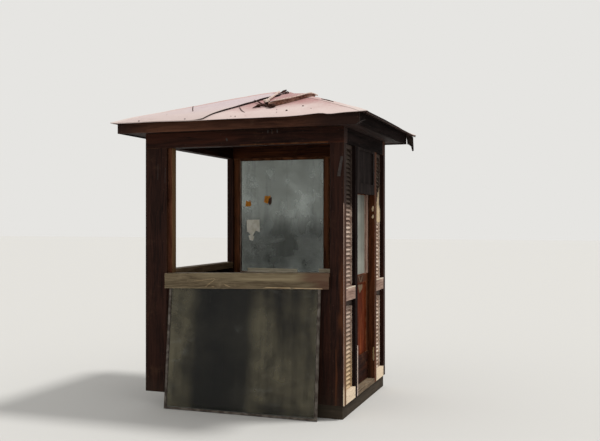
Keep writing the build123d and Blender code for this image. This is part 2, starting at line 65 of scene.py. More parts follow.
class NodeMaker:
    # short ways to add nodes to a tree; a value is a constant, a node (its first output) or a node's socket

    def __init__(self, tree):
        self.tree = tree

    def add(self, kind, settings=None, **inputs):
        made = self.tree.nodes.new(kind)
        for key, value in (settings or {}).items():
            setattr(made, key, value)
        for key, value in inputs.items():
            self.plug(made.inputs[key.replace("_", " ")], value)
        return made

    def plug(self, socket, value):
        if isinstance(value, bpy.types.Node):
            value = value.outputs[0]
        if isinstance(value, bpy.types.NodeSocket):
            self.tree.links.new(value, socket)
        else:
            socket.default_value = value

    def fill(self, made, values):
        for socket, value in zip(made.inputs, values):
            self.plug(socket, value)
        return made.outputs

    def calc(self, operation, *values, clamp=False):
        return self.fill(self.add("ShaderNodeMath", {"operation": operation, "use_clamp": clamp}), values)[0]

    def times(self, *values, clamp=False):
        return self.calc("MULTIPLY", *values, clamp=clamp)

    def vec(self, operation, *values):
        outputs = self.fill(self.add("ShaderNodeVectorMath", {"operation": operation}), values)
        return outputs["Value"] if operation == "DOT_PRODUCT" else outputs[0]

    def split(self, vector):
        return self.add("ShaderNodeSeparateXYZ", Vector=vector).outputs

    def noise(self, vector, scale, detail=3.0, rough=0.55, warp=0.0):
        return self.add("ShaderNodeTexNoise", Vector=vector, Scale=scale, Detail=detail, Roughness=rough,
                        Distortion=warp).outputs["Fac"]

    def span(self, value, low, high, outLow=0.0, outHigh=1.0):
        made = self.add("ShaderNodeMapRange", {"interpolation_type": "SMOOTHSTEP"})
        return self.fill(made, (value, low, high, outLow, outHigh))[0]

    def blend(self, amount, first, second):
        made = self.add("ShaderNodeMix", {"data_type": "RGBA"})
        for index, value in ((0, amount), (6, first), (7, second)):
            self.plug(made.inputs[index], tint(value) if isinstance(value, str) else value)
        return made.outputs[2]

    def bump(self, surface, height, strength, distance):
        self.plug(surface["Normal"], self.add("ShaderNodeBump", Height=height, Strength=strength,
                                              Distance=distance))

    def group(self, name, **inputs):
        return self.add("ShaderNodeGroup", {"node_tree": bpy.data.node_groups[name]}, **inputs).outputs


def newTree(kind, name, ins, outs):
    # node group with named sockets, each given with its kind
    tree = bpy.data.node_groups.new(name, kind + "NodeTree")
    for way, sockets in (("INPUT", ins), ("OUTPUT", outs)):
        for key, socketKind in sockets.items():
            tree.interface.new_socket(key, in_out=way, socket_type="NodeSocket" + socketKind)
    return NodeMaker(tree), tree.nodes.new("NodeGroupInput").outputs, tree.nodes.new("NodeGroupOutput").inputs


def newMaterial(name, gloss):
    # gives a new material's node maker, its surface's sockets and the place on the object
    material = bpy.data.materials.new(name)
    material.use_nodes = True
    t = NodeMaker(material.node_tree)
    surface = material.node_tree.nodes["Principled BSDF"].inputs
    surface["Specular IOR Level"].default_value = gloss
    return t, surface, t.add("ShaderNodeTexCoord").outputs["Object"]


# shared effects

t, ins, outs = newTree("Shader", "woodGrain", {"Vector": "Vector", "Grain": "Vector"},
                       dict.fromkeys(("Fibre", "Streak", "Crack", "Height"), "Float"))
wander = t.add("ShaderNodeTexNoise", Vector=ins["Vector"], Scale=2.3, Detail=2.0)
bent = t.vec("MULTIPLY_ADD", wander.outputs["Color"], (0.05, 0.05, 0.05), ins["Vector"])
along = t.vec("MULTIPLY", bent, ins["Grain"])
fibre = t.noise(along, 3.2, 7.0, 0.68)
hair = t.noise(along, 11.0, 3.0, 0.5)
ring = t.calc("ABSOLUTE", t.calc("SUBTRACT", t.noise(along, 0.9, 2.0), 0.5))
crackPatch = t.span(t.noise(ins["Vector"], 3.0, 2.0), 0.52, 0.66)
crack = t.times(t.span(ring, 0.0, 0.012, 1.0, 0.0), crackPatch)
height = t.calc("ADD", t.times(fibre, 0.55), t.times(hair, 0.3))
t.plug(outs["Fibre"], fibre)
t.plug(outs["Streak"], t.noise(along, 0.55, 4.0, 0.6, 0.4))
t.plug(outs["Crack"], crack)
t.plug(outs["Height"], t.calc("SUBTRACT", height, crack))

t, ins, outs = newTree("Shader", "edgeWear", {"Vector": "Vector", "Radius": "Float"},
                       {"Wear": "Float", "Rub": "Float"})
rounded = t.add("ShaderNodeBevel", {"samples": 4}, Radius=ins["Radius"])
flat = t.add("ShaderNodeNewGeometry").outputs["Normal"]
edge = t.span(t.vec("DOT_PRODUCT", rounded, flat), 0.9, 0.995, 1.0, 0.0)
t.plug(outs["Wear"], t.times(edge, t.span(t.noise(ins["Vector"], 16.0, 5.0, 0.7), 0.42, 0.6)))
t.plug(outs["Rub"], t.span(t.noise(ins["Vector"], 4.5, 6.0, 0.72, 0.5), 0.56, 0.74))

t, ins, outs = newTree("Shader", "dustAndSplash", {"Vector": "Vector", "Dust": "Float", "Splash": "Float"},
                       {"Dust": "Float", "Splash": "Float"})
lying = t.span(t.split(t.add("ShaderNodeNewGeometry").outputs["Normal"])["Z"], 0.3, 0.95)
clumps = t.span(t.noise(ins["Vector"], 9.0, 5.0, 0.65), 0.3, 0.7)
t.plug(outs["Dust"], t.times(t.times(lying, clumps), ins["Dust"], clamp=True))
ragged = t.calc("MULTIPLY_ADD", t.noise(ins["Vector"], 6.0, 5.0, 0.7), 0.5, t.split(ins["Vector"])["Z"])
t.plug(outs["Splash"], t.times(t.span(ragged, 0.3, 0.62, 1.0, 0.0), ins["Splash"], clamp=True))
print("shader groups ready")

# timbers: tones in the grain's depths, body and crests and where it is bare, edge wear, rubbed share,
# least and most roughness, gloss, bump, dust and splashes

grainAlong = {"X": (1.4, 24.0, 24.0), "Y": (24.0, 1.4, 24.0), "Z": (24.0, 24.0, 1.4)}
timberKeys = ("deep", "body", "lit", "bare", "wear", "rub", "rough", "gloss", "bump", "dust", "splash")
timbers = {
    "darkTimber": ("110604", "2c140b", "3d1d11", "75583f", 0.35, 0.2, (0.6, 0.88), 0.12, 0.35, 0.15, 0.12),
    "shadyTimber": ("0a0706", "191110", "241a18", "4b3c34", 0.3, 0.15, (0.75, 0.97), 0.02, 0.35, 0.1, 0.0),
    "fasciaTimber": ("2a160e", "482b1e", "5c3a2a", "7c6450", 0.35, 0.25, (0.65, 0.9), 0.12, 0.35, 0.15, 0.0),
    "redTimber": ("300f05", "5f250e", "7e3a19", "a5734c", 0.5, 0.3, (0.65, 0.88), 0.05, 0.3, 0.15, 0.1),
    "brownTimber": ("1d0c06", "46230f", "66371d", "9a7752", 0.5, 0.3, (0.6, 0.85), 0.08, 0.3, 0.2, 0.12),
    "weatheredTimber": ("453422", "77624a", "8f785b", "c2ad8c", 0.7, 0.5, (0.6, 0.88), 0.22, 0.35, 0.3, 0.2),
    "louvreTimber": ("74584c", "b39d8e", "c9b6a6", "dfcfbc", 0.6, 0.5, (0.68, 0.92), 0.08, 0.4, 0.2, 0.15),
    "railTimber": ("6b544a", "a08475", "b79c8d", "dcc9b8", 0.7, 0.5, (0.68, 0.92), 0.08, 0.4, 0.25, 0.15),
    # near white: pale cream wood with painted sunlight on it, for the sill laths and the middle rails' tops
    "paleTimber": ("b0a184", "e6dcc2", "efe8d4", "f1ebdb", 0.4, 0.4, (0.6, 0.85), 0.2, 0.3, 0.1, 0.0),
    "baseTimber": ("14100d", "2a211a", "3b3128", "655a4a", 0.4, 0.3, (0.72, 0.94), 0.08, 0.4, 0.3, 0.3),
}
timbers = {kind: dict(zip(timberKeys, look)) for kind, look in timbers.items()}
# the same timbers in other tones. sun: a painted sunlit tone on the faces that look towards +X, and how high
# up it reaches;
# stain: how far from a middle along X it starts and is full, its tone, that middle and how high it reaches
relatives = {
    "cornerBoardTimber": ("darkTimber", {"lit": "301910", "sun": ("4f3220", 1.74),
                                         "stain": (1.78, 1.9, "5f3419", -1.0, 1.5)}),
    "cornerPostTimber": ("darkTimber", {"sun": ("42200f", 1.74)}),
    "leftPostTimber": ("redTimber", {"deep": "30160d", "body": "54301f", "lit": "6b4530",
                                     "sun": ("9c8058", 3.0)}),
    # the fascia is darker towards both ends along X
    "fasciaTimber": ("fasciaTimber", {"stain": (0.66, 0.98, "1c1211", -0.14, 9.0)}),
    "counterTimber": ("weatheredTimber", {"deep": "413525", "body": "70624b", "lit": "887a5f",
                                          "stain": (1.5, 1.66, "523427", -1.0, 9.0)}),
    # paler copy of the louvre timber: painted light, for the far louvre panel that looks brighter than the
    # near one
    "farLouvreTimber": ("louvreTimber", {"deep": "957a69", "body": "d6c2b0", "lit": "e2d2c2"}),
    "kickTimber": ("redTimber", {"deep": "0f0402", "body": "2b1107", "lit": "3b1a0b", "splash": 0.0}),
    "battenTimber": ("brownTimber", {"deep": "4a2f27", "body": "8f6455", "lit": "b89382"}),
    "splinterTimber": ("paleTimber", {"deep": "8d7454", "body": "d2b68e", "lit": "dcc6a4"}),
    "scratchTimber": ("weatheredTimber", {"deep": "6b5a44", "body": "94805f", "lit": "a8936f"}),
    # darker copy: painted shade of the eave on the transom panel
    "transomTimber": ("shadyTimber", {"deep": "120e0d", "body": "251f1e", "lit": "332b29"}),
    "sashTimber": ("brownTimber", {"deep": "2a150b", "body": "5e361f", "lit": "7b4b2e"}),
    "plateTimber": ("paleTimber", {"deep": "6f5836", "body": "a98e60", "lit": "bfa678"}),
}
for kind, (base, changes) in relatives.items():
    timbers[kind] = dict(timbers[base], **changes)
# bands in height that are darker or paler: painted shade up under the eave and in the gap below the middle
# rail, and paler near the ground
bands = {"louvreTimber": ((1.64, 1.74, 3.0, 4.0, "1f130f"), (0.872, 0.88, 0.934, 0.937, "140604"),
                          (-1.0, -0.5, 0.25, 0.75, "c6ab86")),
         "railTimber": ((-1.0, -0.5, 0.2, 0.3, "e8d3b6"),)}
bands["farLouvreTimber"] = bands["louvreTimber"][:2]


def timberMaterial(kind, axis):
    spec = timbers[kind]
    t, surface, place = newMaterial(kind + axis, spec["gloss"])
    tone = t.add("ShaderNodeAttribute", {"attribute_name": "boardTone"}).outputs["Fac"]
    tones = t.add("ShaderNodeCombineXYZ", X=tone, Y=tone, Z=tone)
    shifted = t.vec("ADD", place, t.vec("MULTIPLY", tones, (3.1, 5.3, 7.7)))
    grain = t.group("woodGrain", Vector=shifted, Grain=grainAlong[axis])
    wear = t.group("edgeWear", Vector=shifted, Radius=0.005)
    dust = t.group("dustAndSplash", Vector=place, Dust=spec["dust"], Splash=spec["splash"])
    colour = t.blend(t.span(grain["Fibre"], 0.3, 0.7), spec["deep"], spec["body"])
    colour = t.blend(t.span(grain["Streak"], 0.42, 0.75), colour, spec["lit"])
    colour = t.blend(t.times(tone, 0.55), colour, spec["deep"])
    rubbed = t.times(t.times(wear["Rub"], grain["Fibre"]), spec["rub"], clamp=True)
    colour = t.blend(rubbed, colour, spec["bare"])
    colour = t.blend(t.times(wear["Wear"], spec["wear"]), colour, spec["bare"])
    along, level = t.split(place)["X"], t.split(place)["Z"]
    # painted shade under the eave and below the middle rail; paler bands near the ground
    for start, full, fade, end, hue in bands.get(kind, ()):
        kept = t.times(t.span(level, start, full), t.span(level, fade, end, 1.0, 0.0))
        colour = t.blend(t.times(kept, 0.9), colour, hue)
    # painted sunlight on the faces that look towards +X, up to the given height, also bleached and paler
    # towards the foot
    if "sun" in spec:
        hue, top = spec["sun"]
        turned = t.add("ShaderNodeNewGeometry").outputs["True Normal"]
        side = t.span(t.split(turned)["X"], 0.6, 0.9)
        reach = t.times(side, t.span(level, top - 0.08, top, 0.9, 0.0))
        sunlitAndBleached = t.blend(t.span(level, 0.15, 0.9, 0.4, 0.0), hue, "c79a68")
        colour = t.blend(reach, colour, t.blend(grain["Fibre"], spec["body"], sunlitAndBleached))
    if "stain" in spec:
        start, full, hue, middle, top = spec["stain"]
        away = t.calc("ABSOLUTE", t.calc("SUBTRACT", along, middle))
        ragged = t.calc("MULTIPLY_ADD", grain["Streak"], 0.5, t.calc("SUBTRACT", away, 0.25))
        patch = t.times(t.span(ragged, start, full), t.span(level, top - 0.5, top, 0.75, 0.0))
        colour = t.blend(patch, colour, hue)
    colour = t.blend(t.times(grain["Crack"], 0.85), colour, spec["deep"])
    colour = t.blend(dust["Dust"], colour, "9a8f7e")
    t.plug(surface["Base Color"], t.blend(t.times(dust["Splash"], 0.5), colour, "6f6555"))
    low, high = spec["rough"]
    t.plug(surface["Roughness"], t.span(grain["Fibre"], 0.2, 0.8, high, low))
    t.bump(surface, grain["Height"], spec["bump"], 0.002)


for kind in timbers:
    for axis in "XYZ":
        timberMaterial(kind, axis)

# roof sheet: its tones low and high on the slope, and what lies over both
sheets = {"roofPaint": ("cdb9b2", "ab7f7b"), "lapPaint": ("c6b4ae", "c3b3b3"),
          "tornPaint": ("ae8a86", "a7807c"), "capPaint": ("d0c0b8", "bfa09a")}
sheetMarks = {"pale": "d3c6c0", "rust": "8f625a", "dirt": "5d463b"}


def sheetMaterial(name):
    t, surface, place = newMaterial(name, 0.25)
    drift = t.calc("MULTIPLY_ADD", t.noise(place, 3.0, 5.0, 0.6), 0.25, t.split(place)["Z"])
    colour = t.blend(t.span(drift, 2.56, 2.73), *sheets[name])
    mottled = t.noise(place, 14.0, 6.0, 0.7)
    colour = t.blend(t.times(t.span(mottled, 0.5, 0.75), 0.5), colour, sheetMarks["pale"])
    stains = t.times(t.span(t.noise(place, 5.0, 7.0, 0.75, 0.6), 0.56, 0.78), 0.4)
    colour = t.blend(stains, colour, sheetMarks["rust"])
    specks = t.span(t.noise(place, 60.0, 3.0, 0.6), 0.68, 0.74)
    t.plug(surface["Base Color"], t.blend(t.times(specks, 0.7), colour, sheetMarks["dirt"]))
    t.plug(surface["Roughness"], t.span(mottled, 0.3, 0.7, 0.62, 0.85))
    t.bump(surface, t.calc("ADD", mottled, specks), 0.25, 0.002)


for name in sheets:
    sheetMaterial(name)

t, surface, place = newMaterial("windowGlass", 0.5)
surface["Transmission Weight"].default_value = 1.0
surface["IOR"].default_value = 1.45
surface["Roughness"].default_value = 0.0
clouded = t.span(t.noise(place, 4.0, 5.0, 0.7, 0.8), 0.4, 0.8)
t.plug(surface["Base Color"], t.blend(clouded, "e4eee9", "c9d2cb"))

t, surface, place = newMaterial("dullSteel", 0.5)
surface["Metallic"].default_value = 0.8
rust = t.span(t.noise(place, 9.0, 6.0, 0.7), 0.52, 0.66)
t.plug(surface["Base Color"], t.blend(rust, "9a978f", "6b4a37"))
t.plug(surface["Roughness"], t.span(t.noise(place, 45.0, 5.0, 0.7), 0.3, 0.7, 0.35, 0.6))

plains = {  # two tones, how fine they are mottled and the roughness
    "frameMetal": ("6b645c", "3d352f", 18.0, 0.7),
    "paperWhite": ("d9d6ca", "c4bfae", 22.0, 0.9),
    "labelOrange": ("c98528", "a8641c", 40.0, 0.7),
    "labelDark": ("3a2a22", "54352a", 50.0, 0.7),
    "barkBrown": ("4a3128", "241714", 70.0, 0.92),
    "stickPale": ("dcc8bc", "b09a8c", 60.0, 0.88),
    "stripGrey": ("463f3c", "322d2c", 60.0, 0.88),
    "nailRust": ("4a3328", "241a16", 300.0, 0.8),
    "tarPaper": ("241d1a", "3a302b", 40.0, 0.95),
}


def plainMaterial(name, first, second, scale, rough):
    t, surface, place = newMaterial(name, 0.12)
    mottle = t.noise(place, scale, 5.0, 0.65)
    t.plug(surface["Base Color"], t.blend(t.span(mottle, 0.35, 0.65), first, second))
    t.plug(surface["Roughness"], t.span(mottle, 0.3, 0.7, rough, rough - 0.15))
    t.bump(surface, mottle, 0.2, 0.001)


for name, look in plains.items():
    plainMaterial(name, *look)

# dirt on glass, with painted view and reflection in its tones: two tones, least and most alpha, share of
# streaks and roughness. Above and below a level, how much of the second tone shows, with what is added to the
# alpha below it; a dark band's sides are in x
films = {
    # windowFilm: dust with dark tones that paint the view seen through the back window, paler above its level
    "windowFilm": {"tones": ("2c2e29", "8d918a"), "alpha": (0.46, 0.68), "streaks": 0.45, "rough": 0.22,
                   "level": (1.57, 0.14), "share": (0.3, 1.5), "denser": 0.17},
    # doorFilm: dust with a pale tone that paints the reflection in the door's glass
    "doorFilm": {"tones": ("686b63", "94948a"), "alpha": (0.88, 0.98), "streaks": 0.4, "rough": 0.3,
                 "level": (3.0, 0.3), "share": (1.0, 0.45)},
    # paneFilm: dirt with near-black tones that paint the loose pane's dark reflection, darker still in an
    # upright band
    "paneFilm": {"tones": ("0d0e0c", "625c49"), "alpha": (0.62, 0.9), "streaks": 0.3, "rough": 0.08,
                 "level": (0.5, 0.3), "share": (1.0, 0.85), "band": (-0.44, 0.09, 0.07)},
}


def filmMaterial(name):
    # a thin skin whose alpha changes, streaked downwards
    film = films[name]
    level, soft = film["level"]
    t, surface, place = newMaterial(name, 0.25)
    runs = t.noise(t.vec("MULTIPLY", place, (14.0, 14.0, 0.9)), 1.0, 3.0, 0.5)
    clouds = t.noise(place, 2.2, 5.0, 0.6, 0.3)
    mixed = t.calc("ADD", t.times(runs, film["streaks"]), t.times(clouds, 1.0 - film["streaks"]))
    across, height = t.split(place)["X"], t.split(place)["Z"]
    share = t.span(height, level - soft, level + soft, *film["share"])
    if "band" in film:
        near, far, edge = film["band"]
        before = t.span(across, near - edge, near + edge, 1.0, 0.12)
        after = t.span(across, far - edge, far + edge, 0.12, 1.0)
        share = t.times(share, t.calc("MAXIMUM", before, after))
    colour = t.blend(t.times(t.span(mixed, 0.3, 0.7), share), *film["tones"])
    smear = t.noise(t.vec("MULTIPLY", place, (2.0, 2.0, 5.0)), 1.3, 4.0, 0.55, 0.6)
    colour = t.blend(t.span(smear, 0.58, 0.75, 0.0, 0.14), colour, "8f938f")
    specks = t.span(t.noise(place, 90.0, 2.0), 0.7, 0.78)
    t.plug(surface["Base Color"], t.blend(t.times(specks, 0.5), colour, "a09d90"))
    denser = t.span(height, level - soft, level + soft, film.get("denser", 0.0), 0.0)
    t.plug(surface["Alpha"], t.calc("ADD", t.span(clouds, 0.36, 0.66, *film["alpha"]), denser))
    t.plug(surface["Roughness"], t.span(clouds, 0.3, 0.7, film["rough"], film["rough"] + 0.15))


for name in films:
    filmMaterial(name)
print("materials ready")

# finishes on the frame's own nodes

finishes = {
    "darkTimberX": ["front_header"],
    "darkTimberY": ["left_header"],
    "darkTimberZ": ["back_left_post", "back_right_post", "back_corner_boards"],
    "cornerBoardTimberZ": ["front_corner_boards"],
    "cornerPostTimberZ": ["front_right_post"],
    "shadyTimberY": ["right_header", "fascia_short"],
    "shadyTimberZ": ["door_post_front"],
    "transomTimberZ": ["transom_panel"],
    "sashTimberZ": ["back_window_frame"],
    "fasciaTimberX": ["fascia_long"],
    "redTimberZ": ["door_lower_panel"],
    "leftPostTimberZ": ["front_left_post"],
    "counterTimberX": ["counter_rail"],
    "brownTimberX": ["back_header"],
    "brownTimberZ": ["door_post_back", "door_leaf"],
    "weatheredTimberX": ["back_window_sill"],
    "weatheredTimberY": ["left_window_sill", "door_threshold"],
    "louvreTimberY": ["louvre_panel_front"],
    "farLouvreTimberY": ["louvre_panel_back"],
    "railTimberY": ["right_wall_rails"],
    "baseTimberX": ["base_long_beams", "ridge_board", "hip_rafters"],
    "baseTimberY": ["base_cross_beams"],
    "windowGlass": ["back_window_glass", "door_glass", "loose_pane_glass"],
    "dullSteel": ["door_hinges", "door_hinge_leaves", "door_handle"],
    "frameMetal": ["loose_pane_frame"],
}
for finish, names in finishes.items():
    for name in names:
        slots = nodes[name].data.materials
        slots.clear()
        slots.append(bpy.data.materials[finish])
print("frame dressed")

# ways to make a piece


def addPiece(name, mesh, body="structure", instead=()):
    # mesh is in the frame's place already, so the object stays at the origin
    piece = bpy.data.objects.new(name, mesh)
    scene.collection.objects.link(piece)
    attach(piece, body)
    if instead:
        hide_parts(*instead)


def finishPiece(bm, name, slotName, *finishes, body="structure", instead=(), smooth=None):
    # smooth is the angle up to which neighbouring faces shade as one
    bmesh.ops.recalc_face_normals(bm, faces=bm.faces)
    if smooth:
        for face in bm.faces:
            face.smooth = True
        for edge in bm.edges:
            edge.smooth = edge.calc_face_angle(0.0) < math.radians(smooth)
    mesh = bpy.data.meshes.new(name)
    bm.to_mesh(mesh)
    bm.free()
    for finish in finishes:
        mesh.materials.append(bpy.data.materials[finish])
    addPiece(name, mesh, body, instead)


def addFace(bm, corners, look):
    bm.faces.new(corners).material_index = look


def addBlock(bm, low, high, look=0):
    corners = [bm.verts.new((x, y, z))
               for x in (low[0], high[0]) for y in (low[1], high[1]) for z in (low[2], high[2])]
    for face in ((0, 1, 3, 2), (4, 6, 7, 5), (0, 4, 5, 1), (2, 3, 7, 6), (0, 2, 6, 4), (1, 5, 7, 3)):
        addFace(bm, [corners[index] for index in face], look)


def addBar(bm, low, high, look=0, edge=0.0012):
    # sawn bar with all its arrises taken off
    before = set(bm.verts)
    addBlock(bm, low, high, look)
    edges = {item for vert in bm.verts if vert not in before for item in vert.link_edges}
    bmesh.ops.bevel(bm, geom=list(edges), offset=edge, segments=1, affect="EDGES", material=-1)


def joinRings(bm, first, second, look):
    for index in range(len(first)):
        after = (index + 1) % len(first)
        addFace(bm, (first[index], first[after], second[after], second[index]), look)


def addTube(bm, points, radii, sides=7, look=0):
    # round stick along points, closed at both ends
    points = [Vector(p) for p in points]
    rings = []
    for index, point in enumerate(points):
        ahead = points[min(index + 1, len(points) - 1)] - points[max(index - 1, 0)]
        across = ahead.cross(Vector((0.13, 0.31, 0.94))).normalized()
        up = across.cross(ahead).normalized()
        rings.append([bm.verts.new(point + (across * math.cos(turn) + up * math.sin(turn)) * radii[index])
                      for turn in (2 * math.pi * side / sides for side in range(sides))])
    for first, second in zip(rings, rings[1:]):
        joinRings(bm, first, second, look)
    addFace(bm, rings[0][::-1], look)
    addFace(bm, rings[-1], look)


def addSheet(bm, outline, place, look=0, axis="y"):
    # flat scrap with a chosen outline; place is where its two faces lie along the axis
    rings = [[bm.verts.new((u, w, v) if axis == "y" else (w, u, v)) for u, v in outline] for w in place]
    for ring in rings:
        addFace(bm, ring, look)
    joinRings(bm, *rings, look)


def addFilm(bm, low, high, axis, depth=0.0004, steps=6):
    # thin skin with a few points so that it isn't one plain face
    flat = 0 if axis == "y" else 1
    corners = [Vector((u, v)) for u, v in (
        (low[flat], low.z), (high[flat], low.z), (high[flat], high.z), (low[flat], high.z))]
    outline = [a.lerp(b, step / steps)
               for a, b in zip(corners, corners[1:] + corners[:1]) for step in range(steps)]
    place = low[1 - flat]
    addSheet(bm, outline, (place, place + depth), axis=axis)


def addLump(bm, centre, size, seed, look=0, rough=0.35):
    # rough chunk: a low ball whose points are pushed about
    for vert in bmesh.ops.create_icosphere(bm, subdivisions=2, radius=1.0)["verts"]:
        push = 1.0 + rough * noise.noise(vert.co * 1.9 + Vector((seed, seed * 0.7, 0.0)))
        vert.co = Vector(centre) + Vector([c * s * push for c, s in zip(vert.co, size)])
        for face in vert.link_faces:
            face.material_index = look


def closeSkin(bm, layers, looks=(0, 0, 0)):
    # two grids of points become a closed sheet; looks are for its top, underside and edge
    rows, columns = len(layers[0]) - 1, len(layers[0][0]) - 1
    for grid, look in zip(layers, looks):
        for row in range(rows):
            for column in range(columns):
                addFace(bm, (grid[row][column], grid[row][column + 1], grid[row + 1][column + 1],
                             grid[row + 1][column]), look)
    border = [(0, c) for c in range(columns)] + [(r, columns) for r in range(rows)]
    border += [(rows, c) for c in range(columns, 0, -1)] + [(r, 0) for r in range(rows, 0, -1)]
    joinRings(bm, *[[grid[row][column] for row, column in border] for grid in layers], looks[2])


def growPiece(name, tree, values, instead=(), seed=None, bevel=0.0):
    # runs a geometry tree on a seed mesh and keeps the result as a plain mesh
    start = bpy.data.objects.new(name + "Seed", seed or bpy.data.meshes.new(name + "Seed"))
    scene.collection.objects.link(start)
    modifier = start.modifiers.new("grow", "NODES")
    modifier.node_group = tree
    sockets = {item.name: item.identifier for item in tree.interface.items_tree if item.in_out == "INPUT"}
    for key, value in values.items():
        modifier[sockets[key]] = value
    if bevel:
        soften = start.modifiers.new("soften", "BEVEL")
        soften.width = bevel
        soften.segments = 1
    depsgraph = bpy.context.evaluated_depsgraph_get()
    mesh = bpy.data.meshes.new_from_object(start.evaluated_get(depsgraph), preserve_all_data_layers=True,
                                           depsgraph=depsgraph)
    mesh.name = name
    bpy.data.objects.remove(start)
    addPiece(name, mesh, instead=instead)


def endTree(t, outs, copies, finish):
    # copies become a plain mesh with their finish
    copies = t.add("GeometryNodeRealizeInstances", Geometry=copies)
    t.plug(outs["Geometry"], t.add("GeometryNodeSetMaterial", Geometry=copies, Material=finish))
    return t.tree


# rows of boards

t, ins, outs = newTree("Geometry", "boardRow", {
    "Geometry": "Geometry", "Count": "Int", "Size": "Vector", "First": "Vector", "Step": "Vector",
    "Slip": "Vector", "Shorten": "Vector", "Seed": "Int", "Finish": "Material"}, {"Geometry": "Geometry"})


def anyVector(t, low, high, seed):
    made = t.add("FunctionNodeRandomValue", {"data_type": "FLOAT_VECTOR"}, Seed=seed)
    return t.fill(made, (low, high))[0]


line = t.add("GeometryNodeMeshLine", {"mode": "OFFSET"}, Count=ins["Count"], Start_Location=ins["First"],
             Offset=ins["Step"])
board = t.add("GeometryNodeMeshCube", Size=ins["Size"])
back = t.vec("MULTIPLY", ins["Slip"], (-1.0, -1.0, -1.0))
slipped = t.add("GeometryNodeSetPosition", Geometry=line, Offset=anyVector(t, back, ins["Slip"], ins["Seed"]))
shorter = anyVector(t, ins["Shorten"], (1.0, 1.0, 1.0), t.calc("ADD", ins["Seed"], 5.0))
placed = t.add("GeometryNodeInstanceOnPoints", Points=slipped, Instance=board, Scale=shorter)
toneSeed = t.calc("ADD", ins["Seed"], 21.0)
tone = t.add("FunctionNodeRandomValue", {"data_type": "FLOAT"}, Seed=toneSeed).outputs[1]
toned = t.add("GeometryNodeStoreNamedAttribute", {"data_type": "FLOAT", "domain": "INSTANCE"},
              Geometry=placed, Name="boardTone", Value=tone)
boardTree = endTree(t, outs, toned, ins["Finish"])

rows = {  # the node that each row replaces, its run, the way across, board width, gap, finish, slot and seed
    "floorBoards": ("floor", "y", "x", 0.11, 0.004, "weatheredTimberY", "weathered_timber", 3),
    "ceilingLining": ("ceiling_boards", "y", "x", 0.098, 0.003, "darkTimberY", "dark_timber", 7),
    "leftWallBoards": ("left_lower_boards", "z", "y", 0.107, 0.003, "darkTimberZ", "dark_timber", 11),
    "backWallBoards": ("back_lower_boards", "z", "x", 0.103, 0.003, "darkTimberZ", "dark_timber", 17),
}
boardPlay = {"slip": 0.0015, "shorten": 0.996, "thin": 0.97, "bevel": 0.0018}
for name, (nodeName, along, across, width, gap, finish, slotName, seed) in rows.items():
    low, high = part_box(nodeName)
    run, step = "xyz".index(along), "xyz".index(across)
    thin = 3 - run - step
    room = high - low
    count = max(1, round(room[step] / width))
    pitch = room[step] / count
    middle = (low + high) / 2
    size, first, offset, slack, least = (Vector() for _ in range(5))
    size[run], size[step], size[thin] = room[run], pitch - gap, room[thin] - 2 * boardPlay["slip"]
    first[run], first[step], first[thin] = middle[run], low[step] + pitch / 2, middle[thin]
    offset[step] = pitch
    slack[thin] = boardPlay["slip"]
    least[run], least[step], least[thin] = boardPlay["shorten"], 1.0, boardPlay["thin"]
    growPiece(name, boardTree, {
        "Count": count, "Size": size, "First": first, "Step": offset, "Slip": slack, "Shorten": least,
        "Seed": seed, "Finish": bpy.data.materials[finish]},
        instead=(nodeName,), bevel=boardPlay["bevel"])

# front boards end under the sagging counter, so each is cut to its own height
frontBoards = {"width": 0.104, "gap": 0.003, "deep": 0.022, "topLeft": 1.0998, "topRight": 1.1308}
low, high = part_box("front_lower_boards")
count = round((high.x - low.x) / frontBoards["width"])
pitch = (high.x - low.x) / count
bm = bmesh.new()
toneLayer = bm.verts.layers.float.new("boardTone")
dice = random.Random(23)
for index in range(count):
    left = low.x + index * pitch + frontBoards["gap"] / 2
    over = (left - low.x) / (high.x - low.x)
    top = frontBoards["topLeft"] + (frontBoards["topRight"] - frontBoards["topLeft"]) * over
    front = low.y + dice.uniform(0.0, high.y - low.y - frontBoards["deep"])
    before = len(bm.verts)
    addBlock(bm, (left, front, low.z), (left + pitch - frontBoards["gap"], front + frontBoards["deep"], top))
    bm.verts.ensure_lookup_table()
    tone = dice.random()
    for vert in bm.verts[before:]:
        vert[toneLayer] = tone
finishPiece(bm, "frontWallBoards", "dark_timber", "darkTimberZ", instead=("front_lower_boards",))
print("boards laid")

# roof: thin sheets with an uneven rim over dark deck boards

slopeLow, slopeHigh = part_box("front_roof_slope")
ridgeLow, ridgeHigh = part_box("ridge_board")
eaveX, eaveY, eaveZ, ridgeZ = slopeHigh.x, -slopeLow.y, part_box("roof_caps")[0].z, slopeHigh.z
skin = {"thick": 0.0025, "reach": 0.12, "dent": 0.003, "lie": 0.003, "capLift": 0.003, "capHalf": 0.043}
# the top has sunk where its sheet is torn
crown = {"x": 0.22, "reach": 0.85, "sink": 0.028, "leftScale": 1.8}
# how far the rim hangs, by the place along each eave
rims = {
    "front": ((-1.12, 0.008), (-1.03, 0.015), (-0.64, 0.014), (-0.47, 0.018), (0.43, 0.019), (0.6, 0.013),
              (0.75, 0.005), (0.815, 0.016), (0.92, 0.009), (1.12, 0.004)),
    "back": ((-1.12, 0.004), (-0.7, 0.014), (-0.2, 0.008), (0.3, 0.016), (0.8, 0.01), (1.12, 0.0)),
    "left": ((-0.96, 0.008), (-0.5, 0.014), (0.0, 0.01), (0.5, 0.016), (0.96, 0.004)),
    "right": ((-0.96, 0.004), (-0.41, 0.002), (0.0, 0.004), (0.5, 0.009), (0.8, 0.012), (0.96, 0.0)),
}
deck = {"boards": 9, "gap": 0.003, "low": 0.0235, "under": 0.004, "least": 0.004,
        "inset": {"front": 0.026, "back": 0.022, "left": 0.022, "right": 0.004}}


